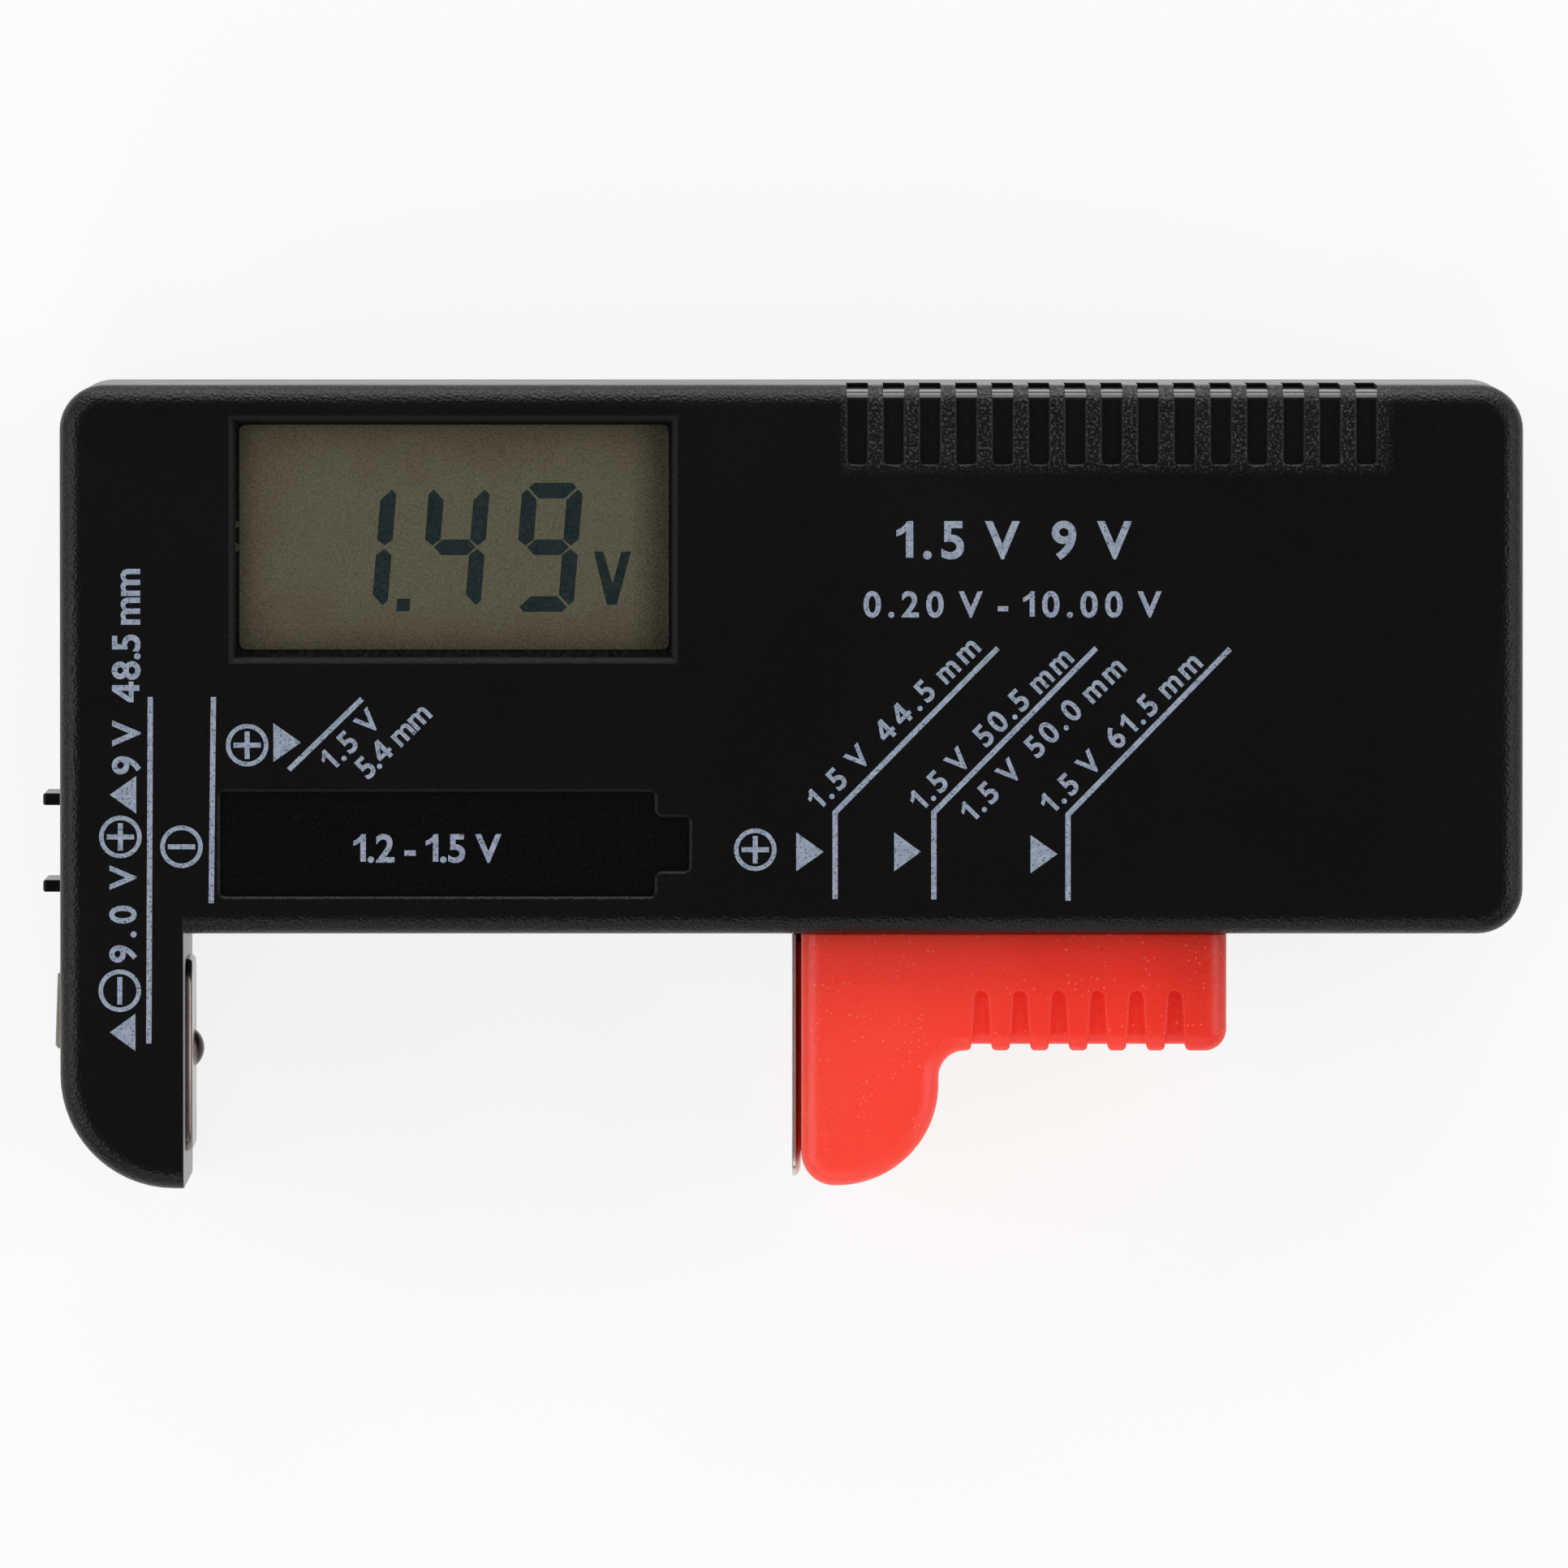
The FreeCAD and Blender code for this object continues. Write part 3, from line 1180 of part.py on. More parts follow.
def wires():
    """The leads inside the case, each through points chosen by hand from its contact to the board."""
    front_lane, rear_lane = "(rear_depth + wire_lane)", "(rear_depth - wire_lane)"
    arm_middle = "(arm_width / 2)"
    pad_foot = "(arm_width - wall - plate_thickness)"
    pad_y = f"({PAD_TAB} - solder_tab)"
    left_pads = "(board_left + 2)"
    wire(
        "negative_wire",
        [
            (pad_foot, pad_y, front_lane),
            (arm_middle, pad_y, front_lane),
            (arm_middle, f"{FLOOR} + 2.2", front_lane),
            ("board_left - 0.6", f"{BOARD_BOTTOM} + 3.5", "rear_depth - 1.5"),
            (left_pads, f"{BOARD_BOTTOM} + 7", "rear_depth - 1.5"),
            (left_pads, f"{BOARD_BOTTOM} + 7", BOARD_BACK),
        ],
    )
    wall_foot = "(wall + plate_thickness)"
    leaf_y = f"({LEAF_TAB} - solder_tab)"
    wire(
        "nine_volt_negative_wire",
        [
            (wall_foot, leaf_y, rear_lane),
            (arm_middle, leaf_y, rear_lane),
            (arm_middle, f"{FLOOR} + 3.2", rear_lane),
            ("board_left - 1.2", f"{BOARD_BOTTOM} + 5.5", "rear_depth - 4"),
            ("board_left + 4.5", f"{BOARD_BOTTOM} + 9.5", "rear_depth - 4"),
            ("board_left + 4.5", f"{BOARD_BOTTOM} + 9.5", BOARD_BACK),
        ],
    )
    stud_y = f"({POSITIVE_RISE} + 1.4 * solder_tab)"
    wire(
        "nine_volt_positive_wire",
        [
            (wall_foot, stud_y, front_lane),
            ("wall + plate_thickness + 2.2", stud_y, front_lane),
            ("board_left - 1.6", f"{BOARD_BOTTOM} + 4.5", "rear_depth + 2.1"),
            (left_pads, f"{BOARD_BOTTOM} + 13", "rear_depth + 0.7"),
            (left_pads, f"{BOARD_BOTTOM} + 13", BOARD_BACK),
        ],
    )
    tab_x = f"({STRIP_RIGHT} - strip_tab_length / 2)"
    tab_y = f"({STRIP_FRONT} + strip_tab_reach / 2)"
    wire(
        "rail_wire",
        [
            (tab_x, tab_y, STRIP_TOP),
            (tab_x, tab_y, f"{STRIP_TOP} + 3.2"),
            (f"{tab_x} - 8", f"{tab_y} + 4", f"{STRIP_TOP} + 3.2"),
            (f"{BOARD_RIGHT} + 4", f"{BOARD_BOTTOM} + 10", f"{STRIP_TOP} + 4"),
            (f"{BOARD_RIGHT} - 3", f"{BOARD_BOTTOM} + 12", f"{STRIP_TOP} + 5"),
            (f"{BOARD_RIGHT} - 3", f"{BOARD_BOTTOM} + 12", BOARD_BACK),
        ],
    )


def main():
    front_shell()
    rear_shell()
    case_screws()
    display()
    circuit_board()
    board_screws()
    components()
    negative_contact()
    nine_volt_contacts()
    rail_strip()
    slider_body()
    slider_contact()
    wires()
    doc.recompute()
    failed = [thing.Name for thing in doc.Objects if {"Invalid", "Error"} & set(thing.State)]
    failed += [part.Label for part in sub_parts if part.Shape.isNull() or not part.Shape.isValid()]
    if failed:
        raise SystemExit(f"these objects failed: {failed}")
    os.makedirs("parts", exist_ok=True)
    for part in sub_parts:
        part.Shape.exportStep(f"parts/{part.Label}.step")
        print(f"{part.Label}: {len(part.Shape.Solids)} solid(s), {part.Shape.Volume:.2f} mm3")


main()
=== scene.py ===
"""The battery tester's finishes, printed marks and display reading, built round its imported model."""

import math
import bmesh
import bpy
from mathutils import Color, Matrix, Vector


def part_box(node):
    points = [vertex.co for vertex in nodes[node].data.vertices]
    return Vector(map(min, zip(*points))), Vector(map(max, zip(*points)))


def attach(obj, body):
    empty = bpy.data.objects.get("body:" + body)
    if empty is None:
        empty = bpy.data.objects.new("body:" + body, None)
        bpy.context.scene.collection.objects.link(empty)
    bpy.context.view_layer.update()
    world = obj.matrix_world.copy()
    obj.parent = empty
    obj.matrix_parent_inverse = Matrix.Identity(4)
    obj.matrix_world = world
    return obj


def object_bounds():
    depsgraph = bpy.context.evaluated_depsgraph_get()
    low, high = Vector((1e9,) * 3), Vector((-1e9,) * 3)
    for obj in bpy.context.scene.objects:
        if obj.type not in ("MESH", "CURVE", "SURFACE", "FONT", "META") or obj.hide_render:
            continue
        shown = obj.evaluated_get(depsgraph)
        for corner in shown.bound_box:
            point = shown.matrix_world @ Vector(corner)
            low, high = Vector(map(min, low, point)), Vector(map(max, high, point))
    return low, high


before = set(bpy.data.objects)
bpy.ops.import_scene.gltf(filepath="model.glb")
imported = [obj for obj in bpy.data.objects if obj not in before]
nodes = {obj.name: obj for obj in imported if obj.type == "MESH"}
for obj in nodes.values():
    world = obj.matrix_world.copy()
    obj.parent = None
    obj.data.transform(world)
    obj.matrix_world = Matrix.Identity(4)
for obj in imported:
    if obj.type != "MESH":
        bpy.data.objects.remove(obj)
cad_low, cad_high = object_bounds()

MM = 0.001

# The photograph's view: nearly straight down on the display face, tipped a little towards the grooved edge
VIEW_AIM = Vector((0.0002, 0.00026, 0.025))
VIEW_DISTANCE = 1.6
VIEW_WIDTH = 0.1178
VIEW_TILT = math.radians(2.06)
VIEW_CLIP = 0.05

# Node trees
GRAIN_RANGE = (0.3, 0.7)
EDGE_SAMPLES = 6
SCREEN_FULL = 255

# The Mix node's sockets for colours
MIX_SHARE, MIX_FIRST, MIX_SECOND = 0, 6, 7
MIX_RESULT = 2


class Finish:
    """A procedural material in the making. Its place is the piece's own coordinates in millimetres."""

    def __init__(self, name, **fixed):
        self.material = bpy.data.materials.new(name)
        self.material.use_nodes = True
        self.tree = self.material.node_tree
        self.surface = self.tree.nodes["Principled BSDF"]
        for socket, value in fixed.items():
            self.surface.inputs[socket.replace("_", " ")].default_value = value
        here = self.node("TexCoord").outputs["Object"]
        self.place = self.node("VectorMath", {0: here, "Scale": 1 / MM}, operation="SCALE").outputs[0]

    def node(self, kind, inputs=None, **settings):
        made = self.tree.nodes.new(f"ShaderNode{kind}")
        for name, setting in settings.items():
            setattr(made, name, setting)
        for socket, source in (inputs or {}).items():
            self.put(made.inputs[socket], source)
        return made

    def put(self, socket, source):
        if isinstance(source, bpy.types.NodeSocket):
            self.tree.links.new(source, socket)
        else:
            socket.default_value = source

    def drive(self, socket, source):
        self.tree.links.new(source, self.surface.inputs[socket])

    def noise(self, per_mm, detail=2.0, stretch=(1, 1, 1)):
        """Soft grain from 0 to 1, with so many grains in a millimetre."""
        place = self.node("VectorMath", {0: self.place, 1: stretch}, operation="MULTIPLY").outputs[0]
        return self.node("TexNoise", {"Vector": place, "Scale": per_mm, "Detail": detail}).outputs["Fac"]

    def pits(self, per_mm):
        """The distance to the nearest of a scatter of points."""
        return self.node("TexVoronoi", {"Vector": self.place, "Scale": per_mm}).outputs["Distance"]

    def axis(self, name):
        return self.node("SeparateXYZ", {0: self.place}).outputs[name]

    def facing(self, name):
        """How squarely a face looks along an axis, from 0 to 1."""
        normal = self.node("NewGeometry").outputs["True Normal"]
        return self.math("ABSOLUTE", self.node("SeparateXYZ", {0: normal}).outputs[name])

    def math(self, operation, *terms):
        return self.node("Math", dict(enumerate(terms)), operation=operation).outputs[0]

    def plus(self, total, *others):
        for other in others:
            total = self.math("ADD", total, other)
        return total

    def times(self, product, *others):
        for other in others:
            product = self.math("MULTIPLY", product, other)
        return product

    def span(self, source, start, end, at_start=0.0, at_end=1.0):
        """A value that goes from one number to another as the source goes from start to end."""
        limits = {"From Min": start, "From Max": end, "To Min": at_start, "To Max": at_end}
        return self.node("MapRange", {"Value": source, **limits}).outputs[0]

    def vary(self, grain, at_low, at_high):
        """A value that follows a grain over the middle of its range."""
        return self.span(grain, *GRAIN_RANGE, at_low, at_high)

    def grade(self, share, at_none, at_all):
        """A value that goes from one number to another as a share goes from 0 to 1."""
        return self.span(share, 0, 1, at_none, at_all)

    def rough(self, grain, at_low, at_high):
        """Roughness that follows a grain."""
        self.drive("Roughness", self.vary(grain, at_low, at_high))

    def between(self, axis, low, high):
        """1 where a coordinate lies between two places in millimetres, else 0."""
        place = self.axis(axis)
        return self.times(self.math("GREATER_THAN", place, low), self.math("LESS_THAN", place, high))

    def inside(self, **spans):
        """1 where each named coordinate lies in its span of millimetres, else 0."""
        return self.times(*[self.between(axis, *span) for axis, span in spans.items()])

    def repeat(self, axis, per_mm):
        """How far a place lies through a pattern that repeats along an axis, from 0 to 1."""
        return self.math("FRACT", self.times(self.axis(axis), per_mm))

    def blend(self, share, first, second):
        mixed = self.node("Mix", data_type="RGBA")
        self.put(mixed.inputs[MIX_SHARE], share)
        self.put(mixed.inputs[MIX_FIRST], first)
        self.put(mixed.inputs[MIX_SECOND], second)
        return mixed.outputs[MIX_RESULT]

    def stops(self, source, colours):
        """A colour that changes at each (place, colour) step without blending."""
        ramp = self.node("ValToRGB", {"Fac": source})
        ramp.color_ramp.interpolation = "CONSTANT"
        steps = ramp.color_ramp.elements
        for place, _ in colours[len(steps):]:
            steps.new(place)
        for step, (place, colour) in zip(steps, colours):
            step.position = place
            step.color = colour
        return ramp.outputs["Color"]

    def bump(self, height, depth_mm, edge_mm=0.0):
        """Raises the surface by a pattern, and softens its sharp edges to a small radius."""
        made = self.node("Bump", {"Height": height, "Distance": depth_mm * MM})
        if edge_mm:
            soft = self.node("Bevel", {"Radius": edge_mm * MM}, samples=EDGE_SAMPLES)
            self.put(made.inputs["Normal"], soft.outputs["Normal"])
        self.drive("Normal", made.outputs["Normal"])


def shade(red, green, blue):
    """A linear colour from the 0 to 255 values that a screen shows."""
    shown = Color((red / SCREEN_FULL, green / SCREEN_FULL, blue / SCREEN_FULL))
    return (*shown.from_srgb_to_scene_linear(), 1.0)


def box_mm(node):
    """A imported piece's lowest and highest corners in millimetres."""
    return [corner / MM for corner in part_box(node)]


# Plastics: the places on the case that have a finish of their own, in millimetres
GROOVE_START = 4.9
GROOVE_PITCH = 2.73
GROOVE_WIDTH = 1.62
GROOVE_COUNT = 15
GROOVE_END = GROOVE_START + GROOVE_COUNT * GROOVE_PITCH
GROOVE_FOOT = 24.2
PAST_TOP_EDGE = 40.0
GROOVE_BOX = {"X": (GROOVE_START, GROOVE_END), "Y": (GROOVE_FOOT, PAST_TOP_EDGE), "Z": (15.6, 24.97)}
RECESS_BOX = {"X": (-42.3, -6.8), "Y": (-8.3, -0.25), "Z": (24.4, 24.8)}
WINDOW_BOX = {"X": (-42.0, -7.6), "Y": (9.1, 28.2)}

# Where the ribs' stipple and its painted glints start and where they are full, along an axis
STIPPLE_FADES = (
    ("X", GROOVE_START - 0.6, GROOVE_START),
    ("X", GROOVE_END + 0.2, GROOVE_END - 0.9),
    ("Y", GROOVE_FOOT - 0.8, GROOVE_FOOT + 0.4),
    ("Z", 21.0, 24.2),
)

# What the case's sides, window rim and polished places add to its roughness
SIDE_ROUGHNESS = -0.07
RIM_ROUGHNESS = 0.30
POLISHED_ROUGHNESS = -0.16


def case_finish():
    """Black moulded plastic with a fine spark-eroded grain, polished in the grooves and the recess, with
    painted glints on the grain of the ribs between the grooves.
    """
    f = Finish("case_black", IOR=1.5, Specular_IOR_Level=0.24, Coat_IOR=1.5, Coat_Roughness=0.22)
    along = f.math("SUBTRACT", f.axis("X"), GROOVE_START)
    turn = f.math("FRACT", f.math("DIVIDE", along, GROOVE_PITCH))
    in_groove = f.math("LESS_THAN", turn, GROOVE_WIDTH / GROOVE_PITCH)
    grooves = f.times(in_groove, f.inside(**GROOVE_BOX))
    polished = f.math("MAXIMUM", grooves, f.inside(**RECESS_BOX))
    f.drive("Coat Weight", grooves)
    ribs_stipple_and_glint = f.math("SUBTRACT", 1.0, grooves)
    for axis, bare, full in STIPPLE_FADES:
        ribs_stipple_and_glint = f.times(ribs_stipple_and_glint, f.span(f.axis(axis), bare, full))

    grain = f.noise(per_mm=5.0, detail=0.6)
    level = f.facing("Z")
    side = f.span(level, start=0.45, end=0.05)
    rough_cast = f.math("MAXIMUM", ribs_stipple_and_glint, f.span(level, start=0.995, end=0.96))
    depth = f.times(
        f.grade(rough_cast, at_none=0.5, at_all=1.0),
        f.grade(side, at_none=1.0, at_all=0.35),
        f.grade(polished, at_none=1.0, at_all=0.03),
    )
    f.bump(f.times(grain, depth), depth_mm=0.08, edge_mm=0.16)
    rim = f.times(f.inside(**WINDOW_BOX), f.span(level, start=0.999, end=0.97))
    matt = f.plus(
        f.vary(f.noise(per_mm=0.06, detail=3.0), at_low=0.32, at_high=0.37),
        f.vary(grain, at_low=0.03, at_high=-0.03),
        f.times(side, SIDE_ROUGHNESS),
        f.times(rim, RIM_ROUGHNESS),
        f.times(polished, POLISHED_ROUGHNESS),
    )
    f.drive("Roughness", matt)
    # The plain grain's faint crests are the plastic's own tone; the pale crests on the ribs are painted
    # glints.
    crests_tone_and_glint = f.span(grain, start=0.50, end=0.72)
    plain = f.blend(crests_tone_and_glint, shade(9, 8, 9), shade(16, 14, 15))
    stipple_painted_glint = f.blend(crests_tone_and_glint, shade(16, 14, 16), shade(66, 62, 65))
    f.drive("Base Color", f.blend(ribs_stipple_and_glint, plain, stipple_painted_glint))
    return f.material


FINE_GRAIN_SHARE = 0.4
# How strongly the slider's painted glints show
PAINTED_GLINT_SHARE = 0.42
# How far the slider's painted shade reaches from its far end, in millimetres
SLIDER_PAINTED_SHADE_END = 7


def slider_finish(node):
    """Red moulded plastic, a little translucent, with a fine grain, pale spots of painted glint, and
    painted shade that deepens its red inward from the lower left and darkens its far end.
    """
    glow = {"Subsurface_Weight": 0.60, "Subsurface_Scale": 0.005, "Subsurface_Radius": (1.0, 0.20, 0.10)}
    f = Finish("slider_red", IOR=1.49, **glow)
    low, high = box_mm(node)
    fine = f.times(f.noise(per_mm=7.0, detail=1.0), FINE_GRAIN_SHARE)
    grain = f.plus(f.noise(per_mm=3.6, detail=1.0), fine)
    f.bump(grain, depth_mm=0.04, edge_mm=0.2)
    # Painted shade: the red deepens from the lower left towards the upper right, with random clouds of
    # tone.
    painted_shade_inward = f.plus(f.span(f.axis("X"), low.x, high.x), f.span(f.axis("Y"), low.y, high.y))
    clouds = f.vary(f.noise(per_mm=0.09), at_low=-0.15, at_high=0.15)
    deep = f.plus(f.span(painted_shade_inward, start=0.3, end=1.6), clouds)
    body = f.blend(deep, shade(255, 72, 54), shade(243, 48, 30))
    # Painted shade darkens the last millimetres of the slider's far end.
    painted_far_end_shade = f.span(f.axis("X"), high.x - SLIDER_PAINTED_SHADE_END, high.x, at_end=0.6)
    body = f.blend(painted_far_end_shade, body, shade(206, 44, 26))
    # Painted glints: pale spots in drifts over the red.
    painted_glint_spots = f.span(f.pits(per_mm=2.1), start=0.22, end=0.10)
    painted_glint_drifts = f.span(f.noise(per_mm=0.5, detail=1.0), start=0.44, end=0.6)
    painted_glints = f.times(painted_glint_spots, painted_glint_drifts, PAINTED_GLINT_SHARE)
    f.drive("Base Color", f.blend(painted_glints, body, shade(255, 160, 135)))
    f.drive("Roughness", f.span(grain, start=0.4, end=1.0, at_start=0.36, at_end=0.52))
    return f.material


def ink_finish():
    """Pale screen-print ink, broken by the plastic's grain."""
    f = Finish("print_ink", IOR=1.5, Specular_IOR_Level=0.24)
    pinholes = f.span(f.noise(per_mm=5.2, detail=1.5), start=0.42, end=0.33, at_end=0.8)
    cloud = f.span(f.noise(per_mm=1.6), start=0.35, end=0.65)
    ink = f.blend(cloud, shade(130, 141, 158), shade(150, 160, 177))
    f.drive("Base Color", f.blend(pinholes, ink, shade(50, 52, 58)))
    f.drive("Roughness", f.grade(cloud, at_none=0.32, at_all=0.38))
    f.bump(f.noise(per_mm=4.0, detail=1.0), depth_mm=0.03)
    return f.material


def wire_finish(name, colour, lit):
    """Soft vinyl sleeve on a wire."""
    f = Finish(name, IOR=1.5)
    f.drive("Base Color", f.blend(f.noise(per_mm=0.5, detail=3.0), colour, lit))
    f.rough(f.noise(per_mm=2.5), at_low=0.38, at_high=0.55)
    f.bump(f.noise(per_mm=3.0), depth_mm=0.01)
    return f.material


# Display
SPECKLE_SHARE = 0.35


def film_finish(node):
    """The display's olive film: fine grain, dust, a brown cast near its edges, and painted shadow of the
    window's walls along its left, lower and upper edges and, wider, at its right rim.
    """
    low, high = box_mm(node)
    f = Finish("display_film", IOR=1.45, Specular_IOR_Level=0.35)
    left = f.math("SUBTRACT", f.axis("X"), low.x)
    right = f.math("SUBTRACT", high.x, f.axis("X"))
    below = f.math("SUBTRACT", f.axis("Y"), low.y)
    above = f.math("SUBTRACT", high.y, f.axis("Y"))
    nearest = f.math("MINIMUM", left, f.math("MINIMUM", below, above))
    uneven = f.plus(nearest, f.vary(f.noise(per_mm=0.25), at_low=-1.5, at_high=1.5))
    brown_cast = f.span(uneven, start=4.5, end=0.0)
    # Painted shadow of the window's walls: narrow along the left, lower and upper edges, wider at the right
    # rim.
    painted_edge_shadow = f.span(nearest, start=0.9, end=0.0, at_end=0.45)
    painted_right_shadow = f.span(right, start=3.0, end=0.8, at_end=0.95)
    olive = f.blend(brown_cast, shade(83, 81, 66), shade(74, 66, 50))
    olive = f.blend(painted_edge_shadow, olive, shade(40, 35, 25))
    olive = f.blend(painted_right_shadow, olive, shade(32, 28, 18))
    grain = f.vary(f.noise(per_mm=6.5, detail=2.5), at_low=0.0, at_high=1.0)
    pale = f.blend(SPECKLE_SHARE, olive, shade(112, 108, 88))
    deep = f.blend(SPECKLE_SHARE, olive, shade(48, 45, 35))
    speckled = f.blend(grain, deep, pale)
    dust = f.span(f.pits(per_mm=0.22), start=0.016, end=0.010, at_end=0.7)
    f.drive("Base Color", f.blend(dust, speckled, shade(170, 164, 146)))
    f.drive("Roughness", f.grade(grain, at_none=0.34, at_all=0.46))
    f.bump(f.noise(per_mm=7.0, detail=1.5), depth_mm=0.006)
    return f.material


def segment_finish():
    """Dark liquid-crystal segments."""
    f = Finish("display_segment", Specular_IOR_Level=0.3)
    cloud = f.span(f.noise(per_mm=0.7, detail=3.0), start=0.35, end=0.65)
    tint = f.blend(cloud, shade(14, 31, 32), shade(25, 34, 36))
    grain = f.span(f.noise(per_mm=7.0), start=0.45, end=0.75)
    f.drive("Base Color", f.blend(f.grade(grain, at_none=0.0, at_all=0.3), tint, shade(60, 66, 62)))
    f.drive("Roughness", f.grade(grain, at_none=0.36, at_all=0.48))
    return f.material


def glass_finish():
    """The display's glass, which shows round its film as a near-black border with ground edges."""
    f = Finish("display_glass", IOR=1.52)
    frost = f.span(f.noise(per_mm=3.0, detail=3.0), start=0.35, end=0.7)
    f.drive("Base Color", f.blend(frost, shade(9, 9, 8), shade(20, 21, 18)))
    f.drive("Roughness", f.grade(frost, at_none=0.25, at_all=0.5))
    return f.material


def seal_finish():
    """The resin that closes the display's filling hole."""
    f = Finish("display_seal", IOR=1.5)
    mottle = f.noise(per_mm=2.5, detail=3.0)
    f.drive("Base Color", f.blend(mottle, shade(44, 43, 38), shade(70, 67, 58)))
    f.rough(mottle, at_low=0.35, at_high=0.55)
    f.bump(mottle, depth_mm=0.03)
    return f.material


def back_film_finish():
    """Brushed aluminised film behind the glass."""
    f = Finish("display_back_film", Metallic=0.85)
    brushed = f.noise(per_mm=3.0, detail=3.0, stretch=(0.1, 2.5, 1))
    f.drive("Base Color", f.blend(brushed, shade(150, 152, 150), shade(196, 198, 194)))
    f.rough(brushed, at_low=0.3, at_high=0.5)
    return f.material


def spacer_finish():
    """White moulded frame round the display."""
    f = Finish("spacer_white", IOR=1.5)
    cloud = f.noise(per_mm=0.3, detail=3.0)
    f.drive("Base Color", f.blend(cloud, shade(214, 212, 204), shade(232, 230, 224)))
    f.rough(f.noise(per_mm=2.0), at_low=0.45, at_high=0.6)
    f.bump(f.noise(per_mm=5.0), depth_mm=0.01)
    return f.material


LAYERS_PER_MM = 4.0
PALE_LAYER_FROM = 0.5


def zebra_finish():
    """Rubber connector of thin dark and pale layers."""
    f = Finish("zebra_rubber")
    stripe = f.math("GREATER_THAN", f.repeat("X", LAYERS_PER_MM), PALE_LAYER_FROM)
    f.drive("Base Color", f.blend(stripe, shade(34, 34, 36), shade(205, 203, 196)))
    f.rough(f.noise(per_mm=2.0), at_low=0.6, at_high=0.75)
    return f.material


# Metals: the contact's pip carries a painted dark reflection from a share of its height below the tip
PIP_HEIGHT = 0.75
PIP_DARK_FROM = 0.95
PIP_DARK_FULLY = 0.6


def plate_finish(name, bright_tint, dull_tint, pip_node=None):
    """Nickel-plated spring steel with faint rolling lines and stains, and a painted dark reflection on its
    pip where it has one.
    """
    f = Finish(name, Metallic=1.0)
    lines = f.noise(per_mm=4.0, detail=3.0, stretch=(1.0, 0.06, 1.6))
    stains = f.span(f.noise(per_mm=0.24, detail=3.0), start=0.48, end=0.85)
    plating = f.blend(stains, bright_tint, dull_tint)
    if pip_node:
        tip = box_mm(pip_node)[1].x
        # The pip's dark mottled colour is a painted reflection of dark surroundings.
        pip_painted_reflection = f.span(f.axis("X"), tip - PIP_DARK_FROM * PIP_HEIGHT, tip - PIP_DARK_FULLY * PIP_HEIGHT)
        painted_reflection_colour = f.blend(f.noise(per_mm=2.0, detail=3.0), shade(34, 29, 26), shade(66, 57, 50))
        plating = f.blend(pip_painted_reflection, plating, painted_reflection_colour)
    f.drive("Base Color", plating)
    rolled = f.vary(lines, at_low=0.16, at_high=0.30)
    stained = f.grade(stains, at_none=0.0, at_all=0.1)
    sheared = f.span(f.facing("Z"), start=0.8, end=0.95, at_end=0.28)
    f.drive("Roughness", f.plus(rolled, stained, sheared))
    f.bump(lines, depth_mm=0.006, edge_mm=0.1)
    return f.material


def brass_finish():
    """Rolled brass, tarnished in patches."""
    f = Finish("rail_brass", Metallic=1.0)
    lines = f.noise(per_mm=4.0, detail=3.0, stretch=(0.05, 2.0, 1))
    tarnish = f.span(f.noise(per_mm=0.35, detail=4.0), start=0.45, end=0.7)
    f.drive("Base Color", f.blend(tarnish, shade(214, 178, 104), shade(150, 112, 60)))
    f.rough(lines, at_low=0.22, at_high=0.42)
    f.bump(lines, depth_mm=0.006)
    return f.material


def screw_finish():
    """Zinc-plated screws, duller in patches."""
    f = Finish("screw_steel", Metallic=1.0)
    dull = f.span(f.noise(per_mm=0.9, detail=4.0), start=0.4, end=0.7)
    f.drive("Base Color", f.blend(dull, shade(196, 196, 194), shade(140, 138, 132)))
    f.drive("Roughness", f.grade(dull, at_none=0.24, at_all=0.48))
    f.bump(f.noise(per_mm=5.0), depth_mm=0.01)
    return f.material


# Electronics
LANES_PER_MM = 0.42
LANE_SHARE = 0.3
ROWS_PER_MM = 0.18
ROW_SHARE = 0.1
ROUTED_FROM = 0.48
WEAVE_HEIGHT = 0.2


def board_finish():
    """Green laminate with lighter tracks under its solder mask."""
    f = Finish("board_laminate", IOR=1.5)
    level = f.math("LESS_THAN", f.repeat("Y", LANES_PER_MM), LANE_SHARE)
    upright = f.math("LESS_THAN", f.repeat("X", ROWS_PER_MM), ROW_SHARE)
    routed = f.math("GREATER_THAN", f.noise(per_mm=0.12, detail=1.0), ROUTED_FROM)
    tracks = f.times(f.math("MAXIMUM", level, upright), routed)
    weave = f.noise(per_mm=1.8, stretch=(1, 0.4, 1))
    mask = f.blend(weave, shade(18, 74, 44), shade(26, 88, 52))
    f.drive("Base Color", f.blend(tracks, mask, shade(52, 122, 66)))
    f.rough(weave, at_low=0.28, at_high=0.42)
    f.bump(f.plus(tracks, f.times(weave, WEAVE_HEIGHT)), depth_mm=0.03)
    return f.material


def epoxy_finish():
    """Glossy black potting drop with a rippled skin."""
    f = Finish("epoxy_black", IOR=1.55)
    ripple = f.noise(per_mm=0.35, detail=3.0)
    f.drive("Base Color", f.blend(ripple, shade(14, 14, 15), shade(30, 29, 30)))
    f.rough(ripple, at_low=0.12, at_high=0.28)
    f.bump(ripple, depth_mm=0.12)
    return f.material


FLANGE = 1.05
TURNS_PER_MM = 3.2
COPPER_METALLIC = 0.8


